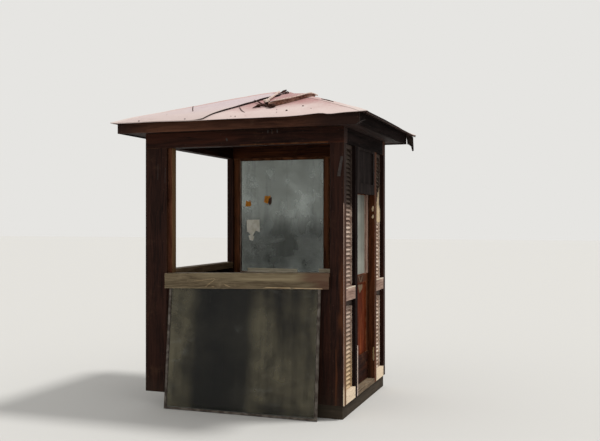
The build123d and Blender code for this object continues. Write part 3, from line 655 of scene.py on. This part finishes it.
def roofHeight(x, y):
    run = min((eaveY - abs(y)) / eaveY, (x + eaveX) / (ridgeLow.x + eaveX),
              (eaveX - x) / (eaveX - ridgeHigh.x))
    return eaveZ + (ridgeZ - eaveZ) * run


def between(pairs, x):
    for (x0, v0), (x1, v1) in zip(pairs, pairs[1:]):
        if x <= x1:
            return v0 + (v1 - v0) * max(0.0, (x - x0) / (x1 - x0))
    return pairs[-1][1]


def sheetHeight(x, y):
    # height of the sheet's outer face with its hanging rim and its shallow dents
    side, rim, place = min((("front", eaveY + y, x), ("back", eaveY - y, x), ("left", eaveX + x, y),
                            ("right", eaveX - x, y)), key=lambda item: item[1])
    near = max(0.0, 1.0 - rim / skin["reach"])
    dent = skin["dent"] * noise.noise(Vector((x * 4.5, y * 4.5, 2.0)))
    away = x - crown["x"] if x > crown["x"] else (crown["x"] - x) * crown["leftScale"]
    sink = crown["sink"] * max(0.0, 1.0 - math.hypot(away, y) / crown["reach"]) ** 2
    return roofHeight(x, y) - skin["lie"] - near * near * between(rims[side], place) + dent - sink


def planRows(a, b, c, d, columns, rows):
    # points of a plan with the corners near left, near right, far right and far left
    a, b, c, d = (Vector(p) for p in (a, b, c, d))
    return [[a.lerp(d, row / rows).lerp(b.lerp(c, row / rows), column / columns)
             for column in range(columns + 1)] for row in range(rows + 1)]


def addSkin(bm, plan, top, low, looks=(0, 0, 0)):
    closeSkin(bm, [[[bm.verts.new((p.x, p.y, height(p.x, p.y))) for p in row] for row in plan]
                   for height in (top, low)], looks)


def under(height, gap):
    return lambda x, y: height(x, y) - gap


slopes = {
    "front": ((-eaveX, -eaveY), (eaveX, -eaveY), (ridgeHigh.x, 0.0), (ridgeLow.x, 0.0)),
    "back": ((eaveX, eaveY), (-eaveX, eaveY), (ridgeLow.x, 0.0), (ridgeHigh.x, 0.0)),
    "left": ((-eaveX, eaveY), (-eaveX, -eaveY), (ridgeLow.x, 0.0), (ridgeLow.x, 0.0)),
    "right": ((eaveX, -eaveY), (eaveX, eaveY), (ridgeHigh.x, 0.0), (ridgeHigh.x, 0.0)),
}
deckTop = under(sheetHeight, deck["under"])
for side, corners in slopes.items():
    bm = bmesh.new()
    addSkin(bm, planRows(*corners, 64, 26), sheetHeight, under(sheetHeight, skin["thick"]),
            (0, 1, 1 if side == "right" else 0))
    a, b, c, d = (Vector(p) for p in corners)
    reach = ((a + b) / 2 - (c + d) / 2).length
    for index in range(deck["boards"]):
        start = max(index / deck["boards"], deck["inset"][side] / reach)
        end = (index + 1) / deck["boards"] - deck["gap"]
        board = planRows(a.lerp(d, start), b.lerp(c, start), b.lerp(c, end), a.lerp(d, end), 20, 1)
        addSkin(bm, board, deckTop,
                lambda x, y: min(roofHeight(x, y) - deck["low"], deckTop(x, y) - deck["least"]), (2, 2, 2))
    bmesh.ops.remove_doubles(bm, verts=bm.verts, dist=0.00002)
    finishPiece(bm, side + "Roof", "roof_sheet", "roofPaint", "tarPaper",
                "darkTimberX" if side in ("front", "back") else "darkTimberY", smooth=30,
                instead=(side + "_roof_slope",))

bm = bmesh.new()
for start, end in (((ridgeLow.x, 0.0), (-eaveX, -eaveY)), ((ridgeLow.x, 0.0), (-eaveX, eaveY)),
                   ((ridgeHigh.x, 0.0), (eaveX, -eaveY)), ((ridgeHigh.x, 0.0), (eaveX, eaveY)),
                   ((ridgeLow.x - 0.03, 0.0), (ridgeHigh.x + 0.03, 0.0))):
    start, end = Vector(start), Vector(end)
    across = Vector((start.y - end.y, end.x - start.x)).normalized() * skin["capHalf"]
    strip = [[Vector((max(-eaveX, min(eaveX, p.x)), max(-eaveY, min(eaveY, p.y)))) for p in row]
             for row in planRows(end - across, end + across, start + across, start - across, 4, 34)]
    addSkin(bm, strip,
            lambda x, y: sheetHeight(x, y) + skin["capLift"] + 0.0015 * noise.noise(Vector((x, y, 9.0)) * 14),
            under(sheetHeight, -0.0006))
finishPiece(bm, "roofCaps", "roof_sheet", "capPaint", smooth=30, instead=("roof_caps",))

# one loose sheet laps over from the left, the other is torn up near the ridge
lap = {"top": -0.076, "foot": -0.9535, "hipGap": 0.0929, "hipLean": 1.1885, "lift": 0.02, "curl": 0.13,
       "edge": ((-0.955, -0.2515), (-0.609, -0.0735), (-0.076, 0.1665))}
bm = bmesh.new()
plan = []
for row in range(41):
    y = lap["foot"] + (lap["top"] - lap["foot"]) * row / 40
    left, right = lap["hipGap"] + lap["hipLean"] * y, between(lap["edge"], y)
    right += 0.004 * noise.noise(Vector((y * 9.0, 3.0, 1.0)))
    plan.append([Vector((left + (right - left) * (1 - (1 - column / 24) ** 1.6), y)) for column in range(25)])


def lapHeight(x, y):
    near = max(0.0, 1.0 - (between(lap["edge"], y) - x) / lap["curl"])
    rise = lap["lift"] * (0.6 + 0.4 * (y - lap["foot"]) / (lap["top"] - lap["foot"]))
    wave = 0.0012 * math.sin(y * 31.0) * near
    return sheetHeight(x, y) + 0.0035 + near * near * rise + wave


addSkin(bm, plan, lapHeight, under(lapHeight, skin["thick"]), (0, 1, 0))
torn = {"topLeft": (0.1025, -0.002), "topRight": (0.1575, -0.002), "right": (0.4905, -0.253),
        "foot": (0.2365, -0.709), "lift": {"top": 0.006, "right": 0.03, "foot": 0.05}}
plan = planRows(torn["foot"], torn["right"], torn["topRight"], torn["topLeft"], 20, 20)


def placeKey(x, y):
    return (round(x, 5), round(y, 5))


def tornLift(over):
    return torn["lift"]["foot"] * (1 - over) + torn["lift"]["right"] * over


places = {placeKey(p.x, p.y): (row / 20, column / 20)
          for row, line in enumerate(plan) for column, p in enumerate(line)}


def tornHeight(x, y):
    up, over = places[placeKey(x, y)]
    wave = 0.002 * math.sin(over * 9.0 + 1.0) * (1 - up)
    return sheetHeight(x, y) + tornLift(over) * (1 - up) ** 1.3 + torn["lift"]["top"] * up + wave


addSkin(bm, plan, tornHeight, under(tornHeight, skin["thick"]), (2, 3, 0))
finishPiece(bm, "looseSheets", "roof_sheet", "lapPaint", "tarPaper", "tornPaint", "barkBrown",
            smooth=30, instead=("loose_roof_sheets",))
print("roof sheets laid")

# what lies on the roof: sticks, twigs, bark and a broken batten


def onRoof(x, y, above=0.0):
    return (x, y, sheetHeight(x, y) + above)


debris = {  # points along each stick: x, y, height over the sheet and radius
    "stick": ((0.1185, -0.53, 0.013, 0.0085), (0.105, -0.4, 0.017, 0.0105), (0.092, -0.25, 0.018, 0.0098),
              (0.074, -0.1, 0.016, 0.01), (0.062, -0.04, 0.0155, 0.007)),
    "twigOne": ((-0.015, -0.435, 0.018, 0.003), (0.05, -0.505, 0.016, 0.006), (0.115, -0.589, 0.012, 0.008),
                (0.19, -0.67, 0.014, 0.009), (0.262, -0.745, 0.01, 0.005)),
    "twigTwo": ((0.085, -0.715, 0.008, 0.003), (0.115, -0.665, 0.016, 0.011), (0.165, -0.67, 0.014, 0.005)),
    "upright": ((-0.463, -0.707, -0.002, 0.004), (-0.466, -0.707, 0.022, 0.0045),
                (-0.463, -0.705, 0.046, 0.003)),
    "cornerTwig": ((0.1, -0.13, 0.014, 0.005), (0.13, -0.105, 0.034, 0.009), (0.15, -0.085, 0.04, 0.006)),
    "hangTwig": ((-0.09, -0.59, 0.016, 0.0015), (-0.035, -0.694, 0.005, 0.003), (0.017, -0.778, 0.005, 0.003),
                 (0.068, -0.84, 0.003, 0.0015)),
    "hipTwig": ((0.6, -0.47, 0.005, 0.0025), (0.68, -0.545, 0.006, 0.004), (0.75, -0.62, 0.005, 0.0025)),
}
lumps = (  # bits of bark: place, size, seed and finish
    ((0.118, -0.66, 0.014), (0.02, 0.018, 0.013), 3.0, 0),
    ((0.125, -0.5, 0.018), (0.026, 0.05, 0.018), 5.0, 1),
    ((0.145, -0.545, 0.014), (0.02, 0.028, 0.014), 8.0, 1),
    ((0.2, -0.6, 0.016), (0.05, 0.06, 0.016), 11.0, 0),
    ((0.245, -0.69, 0.014), (0.035, 0.045, 0.014), 13.0, 0),
    ((0.135, -0.105, 0.02), (0.022, 0.018, 0.018), 17.0, 0),
    ((0.155, -0.07, 0.014), (0.014, 0.016, 0.014), 19.0, 0),
    ((0.11, -0.15, 0.012), (0.012, 0.022, 0.01), 23.0, 0),
)
crumbs = ((0.431, -0.846, 0.009), (0.521, -0.708, 0.007), (-0.846, -0.937, 0.008), (-0.421, -0.933, 0.007),
          (0.62, -0.8, 0.004), (0.36, -0.88, 0.004), (-0.66, -0.8, 0.005), (0.33, -0.8, 0.004),
          (0.022, -0.925, 0.005), (-0.018, -0.918, 0.004))
bm = bmesh.new()
for name, points in debris.items():
    addTube(bm, [onRoof(*point[:3]) for point in points], [point[3] for point in points],
            look=1 if name == "stick" else 0)
for place, size, seed, look in lumps:
    addLump(bm, onRoof(*place), size, seed, look)
for x, y, size in crumbs:
    addLump(bm, onRoof(x, y, size * 0.4), (size, size, size * 0.6), x * 50)
finishPiece(bm, "roofLitter", "weathered_timber", "barkBrown", "stickPale", smooth=50,
            instead=("loose_roof_lath",))

# batten that holds the torn sheet's edge up, with the sheet's lip along it, painted pale as a highlight where
# it catches the light
batten = {"deep": 0.024, "back": 0.012, "steps": 12, "rise": 0.042, "fall": 0.016, "lip": 0.0055}
first, last = Vector(torn["foot"]), Vector(torn["right"])
side = Vector((first.y - last.y, last.x - first.x)).normalized()
overs = [step / batten["steps"] for step in range(batten["steps"] + 1)]
plan = [[first.lerp(last, 0.02 + 0.96 * over) + side * back for over in overs]
        for back in (batten["back"], batten["back"] + batten["deep"])]
battenPlace = {placeKey(p.x, p.y): over for row in plan for over, p in zip(overs, row)}
bm = bmesh.new()
addSkin(bm, plan,
        lambda x, y: sheetHeight(x, y) + batten["rise"] - batten["fall"] * battenPlace[placeKey(x, y)],
        under(sheetHeight, -0.001), (0, 1, 1))
lip = []
for over in (0.08 + 0.93 * over for over in overs):
    p = first.lerp(last, over) - side * 0.003
    lip.append((p.x, p.y,
                sheetHeight(p.x, p.y) + tornLift(over) + 0.002 * math.sin(over * 9.0 + 1.0) + 0.002))
addTube(bm, lip, [batten["lip"] + 0.0015 * math.sin(step * 2.1) for step in range(len(lip))], sides=6, look=2)
finishPiece(bm, "roofBatten", "weathered_timber", "railTimberX", "battenTimberX", "stickPale")
print("roof litter laid")

# back window: beads, dust and a painted view on the glass, plain bits of paper and laths on the sill

glassLow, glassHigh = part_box("back_window_glass")
sash = {"mullionLeft": 0.2725, "mullionRight": 0.3175, "bead": 0.009, "beadDeep": 0.011, "filmGap": 0.0012}
panes = ((glassLow.x, sash["mullionLeft"]), (sash["mullionRight"], glassHigh.x))
bm = bmesh.new()
for left, right in panes:
    for front in (glassLow.y - 0.0003 - sash["beadDeep"], glassHigh.y + 0.0003):
        back = front + sash["beadDeep"]
        # the left pane's inner left and bottom beads take the paler rail timber: painted sunlight coming in
        # through the window
        look = 1 if left == glassLow.x and front < glassLow.y else 0
        addBar(bm, (left, front, glassLow.z), (left + sash["bead"], back, glassHigh.z), look)
        addBar(bm, (right - sash["bead"], front, glassLow.z), (right, back, glassHigh.z))
        for low in (glassLow.z, glassHigh.z - sash["bead"]):
            addBar(bm, (left + sash["bead"], front, low), (right - sash["bead"], back, low + sash["bead"]),
                   look if low == glassLow.z else 0)
finishPiece(bm, "sashBeads", "red_timber", "brownTimberZ", "railTimberZ")

bm = bmesh.new()
front = glassLow.y - sash["filmGap"]
for left, right in panes:
    addFilm(bm, Vector((left + sash["bead"], front, glassLow.z + sash["bead"])),
            Vector((right - sash["bead"], front, glassHigh.z - sash["bead"])), "y")
finishPiece(bm, "windowDustAndPaintedView", "window_glass", "windowFilm")

scraps = {  # what is stuck on the left pane: its finish and its outline in X and Z
    "orange": (1, ((-0.564, 1.722), (-0.555, 1.781), (-0.528, 1.768), (-0.512, 1.785), (-0.499, 1.74),
                   (-0.508, 1.722))),
    "orangeTwo": (1, ((-0.362, 1.765), (-0.352, 1.828), (-0.318, 1.822), (-0.29, 1.83), (-0.296, 1.785),
                      (-0.326, 1.748))),
    "dark": (2, ((-0.31, 1.8), (-0.276, 1.815), (-0.28, 1.752), (-0.3, 1.727), (-0.318, 1.756))),
    "paper": (0, ((-0.549, 1.587), (-0.41, 1.59), (-0.405, 1.462), (-0.452, 1.478), (-0.49, 1.412),
                  (-0.525, 1.46), (-0.545, 1.468))),
    "scrap": (0, ((-0.528, 1.428), (-0.5, 1.436), (-0.466, 1.42), (-0.478, 1.376), (-0.515, 1.384))),
}
bm = bmesh.new()
for index, (look, outline) in enumerate(scraps.values()):
    place = front - 0.0012 - 0.0008 * index
    addSheet(bm, outline, (place, place + 0.0005), look)
finishPiece(bm, "glassScraps", "window_glass", "paperWhite", "labelOrange", "labelDark")

# pale laths on the sill; their near-white tone also paints the sunlight on them
laths = ((-0.537, -0.006, 0.6405, 1.0625, 1.104), (0.226, 0.43, 0.6245, 1.0505, 1.112),
         (-0.3, 0.02, 0.6285, 1.0505, 1.0585))
bm = bmesh.new()
for left, right, front, low, high in laths:
    addBar(bm, (left, front, low), (right, front + 0.008, high))
finishPiece(bm, "sillLaths", "weathered_timber", "paleTimberX")

# door: kick board, dust and painted reflection on its pane, beads, scraped and bleached places; lath and
# plate on the jambs

leafLow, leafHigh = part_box("door_leaf")
panelLow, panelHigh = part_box("door_lower_panel")
doorGlassLow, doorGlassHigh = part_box("door_glass")
door = {"kickHigh": 0.402, "kickThick": 0.0028, "kickInset": 0.018, "bead": 0.009, "proud": 0.0002}
doorFace = leafHigh.x + door["proud"]
bm = bmesh.new()
addBar(bm, (doorFace, leafLow.y + door["kickInset"], leafLow.z + 0.004),
       (doorFace + door["kickThick"], leafHigh.y - door["kickInset"], door["kickHigh"]))
finishPiece(bm, "kickBoard", "red_timber", "kickTimberY", body="door")

bm = bmesh.new()
inset = Vector((0.0, door["bead"], door["bead"]))
place = Vector((doorGlassHigh.x + 0.0008, 0.0, 0.0))
addFilm(bm, place + Vector((0.0, *doorGlassLow.yz)) + inset,
        place + Vector((0.0, *doorGlassHigh.yz)) - inset, "x")
finishPiece(bm, "doorDustAndReflection", "window_glass", "doorFilm", body="door")

bm = bmesh.new()
bead = door["bead"]
for low, high in ((doorGlassLow, doorGlassHigh), (panelLow, panelHigh)):
    start = high.x + 0.0003
    end = min(start + bead, leafHigh.x - 0.001)
    addBar(bm, (start, low.y, low.z), (end, low.y + bead, high.z))
    addBar(bm, (start, high.y - bead, low.z), (end, high.y, high.z), 1 if low == doorGlassLow else 0)
    for level in (low.z, high.z - bead):
        addBar(bm, (start, low.y + bead, level), (end, high.y - bead, level + bead))
finishPiece(bm, "doorBeads", "red_timber", "redTimberZ", "railTimberZ", body="door")

scraped = {  # outlines in Y and Z and how thick each lies, on the panel or the leaf
    "panel": (((-0.017, 1.014), (0.02, 1.019), (0.075, 1.008), (0.138, 1.012), (0.13, 0.975), (0.085, 0.957),
               (0.034, 0.938), (0.012, 0.968)), 0.0006),
    "leaf": (((-0.035, 1.093), (-0.02, 1.096), (0.03, 1.042), (0.022, 1.036)), 0.0005),
    "leafTwo": (((0.09, 1.09), (0.105, 1.088), (0.052, 1.037), (0.043, 1.042)), 0.0005),
}
bm = bmesh.new()
for name, (outline, thick) in scraped.items():
    place = (panelHigh.x if name == "panel" else leafHigh.x) + door["proud"]
    addSheet(bm, outline, (place, place + thick), axis="x")
finishPiece(bm, "scrapedPlaces", "weathered_timber", "weatheredTimberZ", body="door")

# the far stile is bleached beside the glass
stile = {"near": doorGlassHigh.y + 0.006, "far": leafHigh.y - 0.009, "low": doorGlassLow.z + 0.01,
         "high": doorGlassHigh.z + 0.01}
levels = [stile["low"] + (stile["high"] - stile["low"]) * step / 12 for step in range(13)]
outline = [(stile["near"] + 0.002 * math.sin(step * 2.3), z) for step, z in enumerate(levels)]
outline += [(stile["far"] + 0.003 * math.sin(step * 1.7), z) for step, z in enumerate(levels)][::-1]
bm = bmesh.new()
addSheet(bm, outline, (doorFace, doorFace + 0.0004), axis="x")
finishPiece(bm, "bleachedStile", "weathered_timber", "railTimberZ", body="door")

jamb = {"lath": ((0.8631, -0.3155, 0.1105), (0.8682, -0.3015, 0.533)),
        "plate": ((0.846, 0.31), (0.857, 0.312), (0.8605, 0.35), (0.8575, 0.39), (0.8585, 0.432),
                  (0.847, 0.43), (0.8445, 0.37)), "plateFaces": (0.2925, 0.2948),
        "rails": ((-0.637, -0.3635), (0.3635, 0.637)), "railTop": ((0.8628, 1.0345), (0.8636, 1.0398))}
bm = bmesh.new()
addBar(bm, *jamb["lath"], edge=0.001)
addSheet(bm, jamb["plate"], jamb["plateFaces"], 1)
(near, low), (far, high) = jamb["railTop"]
for start, end in jamb["rails"]:  # pale strips on top of the middle rails: painted highlight where the light catches their tops
    addBar(bm, (near, start, low), (far, end, high), 2, edge=0.0002)
finishPiece(bm, "jambLath", "weathered_timber", "stickPale", "plateTimberZ", "paleTimberY")

# splinters and bare spots where the far louvre has lost slats: each splinter's y, foot, top, width and lean
splinters = ((0.374, 1.565, 1.775, 0.015, -0.004), (0.389, 1.56, 1.735, 0.014, 0.003),
             (0.41, 1.56, 1.675, 0.018, 0.0), (0.434, 1.56, 1.68, 0.02, 0.004),
             (0.458, 1.565, 1.755, 0.018, 0.004), (0.482, 1.56, 1.8, 0.02, 0.01),
             (0.508, 1.555, 1.845, 0.02, 0.008), (0.548, 1.74, 1.895, 0.011, 0.02),
             (0.535, 1.56, 1.76, 0.02, 0.004), (0.566, 1.56, 1.72, 0.016, -0.004),
             (0.592, 1.57, 1.7, 0.012, 0.0))
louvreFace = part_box("louvre_panel_back")[1].x + 0.0004
dice = random.Random(41)
bm = bmesh.new()
for y, low, high, wide, lean in splinters:
    front = louvreFace + dice.uniform(0.0, 0.003)
    thick = dice.uniform(0.003, 0.006)
    middle, half, tip = (low + high) / 2, wide / 2, wide * 0.15
    outline = ((y - half, low), (y + half, low + 0.01), (y + half + lean / 2, middle),
               (y + lean + tip, high), (y + lean - tip, high - 0.02), (y - half + lean / 2, middle))
    addSheet(bm, outline, (front, front + thick), axis="x")
# on the jamb beside them
bareSpots = {"levels": ((1.598, 1.635), (1.662, 1.713)), "faces": (0.2938, 0.2948)}
for low, high in bareSpots["levels"]:
    outline = ((0.838, low), (0.851, low + 0.004), (0.856, high - 0.012), (0.848, high),
               (0.836, high - 0.02))
    addSheet(bm, outline, bareSpots["faces"])
finishPiece(bm, "louvreSplinters", "weathered_timber", "splinterTimberZ")
print("window and door details made")

# dirt and a painted dark reflection on the loose pane, in the slope of its glass

dirt = {"gap": 0.0012, "edge": 0.004, "side": 0.003, "thick": 0.0004, "rows": 12, "columns": 14}
paneMesh = nodes["loose_pane_glass"].data
paneFace = min(paneMesh.polygons, key=lambda face: face.normal.y * face.area)
outward = paneFace.normal.copy()
upward = Vector((0.0, outward.z, -outward.y)).normalized()
corners = sorted((paneMesh.vertices[index].co for index in paneFace.vertices),
                 key=lambda corner: corner.dot(upward))
paneLow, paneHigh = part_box("loose_pane_glass")
foot = Vector((paneLow.x, corners[0].y, corners[0].z)) + outward * dirt["gap"] + upward * dirt["edge"]
rise = upward * ((corners[-1] - corners[0]).dot(upward) - 2 * dirt["edge"])
across = Vector((paneHigh.x - paneLow.x, 0.0, 0.0))
bm = bmesh.new()
closeSkin(bm, [[[bm.verts.new(
    foot + outward * depth + rise * (row / dirt["rows"])
    + across * (dirt["side"] + (1 - 2 * dirt["side"]) * column / dirt["columns"]))
    for column in range(dirt["columns"] + 1)] for row in range(dirt["rows"] + 1)]
    for depth in (0.0, dirt["thick"])])
finishPiece(bm, "paneDirtAndReflection", "window_glass", "paneFilm")

# scratches and a worn lower arris on the counter's front board
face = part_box("counter_rail")[0].y
scratches = (
    ((-0.44, 1.07), (-0.43, 1.074), (-0.34, 1.087), (-0.24, 1.099), (-0.25, 1.094), (-0.36, 1.078)),
    ((-0.336, 1.024), (-0.327, 1.023), (-0.29, 1.053), (-0.235, 1.091), (-0.245, 1.09), (-0.3, 1.054)),
    ((-0.168, 1.06), (-0.15, 1.052), (-0.12, 1.04), (-0.098, 1.03), (-0.115, 1.031), (-0.15, 1.043)),
    ((-0.275, 1.029), (-0.262, 1.036), (-0.248, 1.031), (-0.256, 1.024)),
    ((-0.06, 1.03), (0.0, 1.033), (0.07, 1.0345), (0.0, 1.03)),
)
bm = bmesh.new()
for outline in scratches:
    addSheet(bm, outline, (face - 0.0008, face - 0.0002))
for start, end, low in ((0.19, 0.43, 1.0325), (0.44, 0.7, 1.0335)):
    addSheet(bm, ((start, low), (end, low + 0.0015), (end - 0.01, low + 0.0065), (start + 0.03, low + 0.005)),
             (face - 0.0008, face - 0.0002), 1)
finishPiece(bm, "counterScratches", "weathered_timber", "scratchTimberX", "splinterTimberX")

# small things on the front and under the eaves

boardLow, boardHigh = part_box("front_corner_boards")
face = boardLow.y
strips = (  # a slanted strip, two faint lines and a worn place on the header, and how proud each is
    (((0.8375, 2.09), (0.857, 2.088), (0.833, 1.93), (0.806, 1.933)), 0.004),
    (((-0.801, 1.93), (-0.7975, 1.93), (-0.795, 2.06), (-0.798, 2.06)), 0.0015),
    (((-0.731, 1.9), (-0.7275, 1.9), (-0.725, 2.03), (-0.728, 2.03)), 0.0015),
    (((-0.152, 2.237), (-0.142, 2.243), (-0.146, 2.262), (-0.158, 2.268), (-0.161, 2.258)), 0.0012),
)
bm = bmesh.new()
for outline, proud in strips:
    addSheet(bm, outline, (face - proud, face - 0.0003))
finishPiece(bm, "frontStrips", "weathered_timber", "stripGrey")

# the near corner's arris: a pale strip, worn and also a painted sunlit highlight that ends at the eave's
# shadow line, most at its foot: heights and radii
arris = {"inset": 0.0027, "stops": (
    (0.112, 0.0056), (0.22, 0.0054), (0.34, 0.0049), (0.5, 0.004), (0.7, 0.0035), (0.95, 0.0036),
    (1.1, 0.0034), (1.34, 0.0037), (1.55, 0.0034), (1.7, 0.0037), (1.76, 0.0012))}
bm = bmesh.new()
addTube(bm, [(boardHigh.x - arris["inset"], face + arris["inset"], z) for z, radius in arris["stops"]],
        [radius for z, radius in arris["stops"]], sides=8)
finishPiece(bm, "wornArris", "weathered_timber", "railTimberZ", smooth=50)

bm = bmesh.new()
beadLow = 2.2003
for start, end, high in ((-0.032, 0.24, 0.008), (0.245, 0.52, 0.0095), (0.525, 0.731, 0.011)):
    addBar(bm, (start, face - 0.0025, beadLow), (end, face - 0.0003, beadLow + high), edge=0.0006)
finishPiece(bm, "headerBead", "red_timber", "brownTimberX")

# hook on a worn plate between two dark screw heads
hook = {"place": Vector((0.2545, face, 2.308)), "plate": ((-0.008, -0.002, -0.02), (0.008, -0.0003, 0.02)),
        "wire": ((0.0, -0.0015, 0.006), (0.0, -0.012, 0.006), (0.001, -0.02, 0.0), (0.001, -0.02, -0.012),
                 (0.0, -0.013, -0.017)), "radii": (0.0035, 0.003, 0.003, 0.0028, 0.0022),
        "screws": (-0.038, 0.044)}
bm = bmesh.new()
addBar(bm, *[hook["place"] + Vector(corner) for corner in hook["plate"]], 1, edge=0.0007)
addTube(bm, [hook["place"] + Vector(p) for p in hook["wire"]], hook["radii"], sides=8)
for x in hook["screws"]:
    addLump(bm, hook["place"] + Vector((x, -0.0012, 0.0)), (0.0055, 0.0016, 0.016), 4.0 + x, rough=0.15)
finishPiece(bm, "headerHook", "steel", "stripGrey", "nailRust", smooth=50)

# torn flap at the back right corner of the eaves and a stick that has slipped behind the near one
flap = {"y": 0.895, "thick": 0.003, "outline": (
    (1.0265, 2.408), (1.055, 2.402), (1.093, 2.392), (1.078, 2.375), (1.0835, 2.32), (1.0985, 2.256),
    (1.084, 2.2535), (1.072, 2.3), (1.05, 2.318), (1.036, 2.322), (1.0335, 2.36))}
slipped = {"points": ((1.0075, -0.881, 2.311), (1.026, -0.881, 2.325), (1.0445, -0.881, 2.335),
                      (1.0625, -0.8805, 2.343), (1.083, -0.88, 2.347)),
           "radii": (0.002, 0.0042, 0.0042, 0.0036, 0.002)}
bm = bmesh.new()
rings = [[bm.verts.new((x, flap["y"] + shift + 0.25 * (x - 1.03) + 0.012 * math.sin((2.4 - z) * 22.0), z))
          for x, z in flap["outline"]] for shift in (0.0, flap["thick"])]
for ring in rings:
    addFace(bm, ring, 0)
joinRings(bm, *rings, 0)
bmesh.ops.triangulate(bm, faces=bm.faces[:])
addTube(bm, slipped["points"], slipped["radii"], sides=6, look=1)
finishPiece(bm, "eaveScraps", "dark_timber", "tarPaper", "stripGrey", smooth=50)

# nails, each a flattened head that looks out of its board

t, ins, outs = newTree("Geometry", "nailHeads", {
    "Geometry": "Geometry", "Size": "Float", "Finish": "Material"}, {"Geometry": "Geometry"})
ball = t.add("GeometryNodeMeshUVSphere", Segments=8, Rings=4, Radius=1.0)
facing = t.add("GeometryNodeInputNamedAttribute", {"data_type": "FLOAT_VECTOR"}, Name="lean")
turn = t.add("FunctionNodeAlignRotationToVector", {"axis": "Z"}, Vector=facing)
spread = t.add("FunctionNodeRandomValue", {"data_type": "FLOAT"})
t.plug(spread.inputs[2], 0.8)
t.plug(spread.inputs[3], 1.15)
nailSize = t.times(spread.outputs[1], ins["Size"])
scaled = t.add("ShaderNodeCombineXYZ", X=nailSize, Y=nailSize, Z=t.times(nailSize, 0.3))
heads = t.add("GeometryNodeInstanceOnPoints", Points=ins["Geometry"], Instance=ball, Rotation=turn,
              Scale=scaled)
nailTree = endTree(t, outs, heads, ins["Finish"])

ways = {"front": (0, -1, 0), "right": (1, 0, 0), "back": (0, 1, 0), "left": (-1, 0, 0)}
nails = []
dice = random.Random(5)


def shake(most):
    return dice.uniform(-most, most)


def addNail(nodeName, way, along, z):
    # a nail in a node's outer face, at a place along it
    low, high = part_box(nodeName)
    nails.append(({"front": (along, low.y, z), "back": (along, high.y, z), "left": (low.x, along, z),
                   "right": (high.x, along, z)}[way], ways[way]))


# heights and places along; the back's boards begin further in than the front's
nailing = {"rows": 9, "lowest": 0.22, "rise": 0.235, "corners": (-0.89, -0.745, 0.775, 0.85),
           "cornerBack": -0.8, "plates": (2.225, 2.3), "front": (-0.88, -0.55, -0.2, 0.15, 0.5, 0.82),
           "plateBack": -0.7, "sides": (-0.55, -0.25, 0.1, 0.4, 0.6), "fascias": (2.335, 2.375),
           "perFascia": 7, "rails": (0.135, 0.17, 0.95, 1.02), "stiles": (-0.62, -0.38, 0.38, 0.62)}
for step in range(nailing["rows"]):
    z = nailing["lowest"] + step * nailing["rise"] + shake(0.02)
    for x in nailing["corners"]:
        addNail("front_corner_boards", "front", x + shake(0.004), z + shake(0.012))
        if x > nailing["cornerBack"]:
            addNail("back_corner_boards", "back", x, z + shake(0.012))
for z in nailing["plates"]:
    for x in nailing["front"]:
        addNail("front_corner_boards", "front", x + shake(0.02), z)
        if x > nailing["plateBack"]:
            addNail("back_header", "back", x + shake(0.02), z)
    for y in nailing["sides"]:
        addNail("right_header", "right", y, z)
        addNail("left_header", "left", y, z)
for z in nailing["fascias"]:
    for step in range(nailing["perFascia"]):
        x, y = -1.05 + step * 0.345, -0.82 + step * 0.27
        addNail("fascia_long", "front", x, z)
        addNail("fascia_long", "back", x, z)
        addNail("fascia_short", "right", y, z)
        addNail("fascia_short", "left", y, z)
for z in nailing["rails"]:
    for y in nailing["stiles"]:
        addNail("right_wall_rails", "right", y + shake(0.006), z)

# seed mesh of bare points with the way each nail looks out
nailSeed = bpy.data.meshes.new("nailSeed")
nailSeed.from_pydata([place for place, _ in nails], [], [])
lean = nailSeed.attributes.new("lean", "FLOAT_VECTOR", "POINT")
lean.data.foreach_set("vector", [part for _, way in nails for part in way])
growPiece("nailHeads", nailTree, {"Size": 0.0042, "Finish": bpy.data.materials["nailRust"]},
          seed=nailSeed)
print("small details made, nails:", len(nails))

# floor, world and lamp

studio = {"floor": "c6c4bf", "sky": "e6e5e2", "worldLight": 0.75, "key": 2.1, "keyTurn": (26, 0, 116),
          "keySpread": 9, "reach": 60.0, "drop": 0.0005}
floorMesh = bpy.data.meshes.new("studioFloor")
floorMesh.from_pydata([(studio["reach"] * x, studio["reach"] * y, -studio["drop"])
                       for x, y in ((-1, -1), (1, -1), (1, 1), (-1, 1))], [], [(0, 1, 2, 3)])
studioFloor = bpy.data.objects.new("studioFloor", floorMesh)
scene.collection.objects.link(studioFloor)
t, surface, place = newMaterial("floorPaint", 0.5)
surface["Base Color"].default_value = tint(studio["floor"])
surface["Roughness"].default_value = 0.9
floorMesh.materials.append(bpy.data.materials["floorPaint"])

world = bpy.data.worlds.new("studio")
scene.world = world
world.use_nodes = True
t = NodeMaker(world.node_tree)
path = t.add("ShaderNodeLightPath").outputs
bounced = t.calc("MAXIMUM", path["Is Glossy Ray"], path["Is Transmission Ray"])
seen = t.calc("MAXIMUM", path["Is Camera Ray"], bounced)
background = world.node_tree.nodes["Background"].inputs
t.plug(background["Color"], t.blend(seen, (1.0, 1.0, 1.0, 1.0), studio["sky"]))
t.plug(background["Strength"], t.calc("MULTIPLY_ADD", seen, 1.0 - studio["worldLight"], studio["worldLight"]))
keyLamp = bpy.data.lights.new("keyLamp", "SUN")
keyLamp.energy = studio["key"]
keyLamp.angle = math.radians(studio["keySpread"])
keyObject = bpy.data.objects.new("keyLamp", keyLamp)
keyObject.rotation_euler = [math.radians(a) for a in studio["keyTurn"]]
scene.collection.objects.link(keyObject)
print("studio ready")
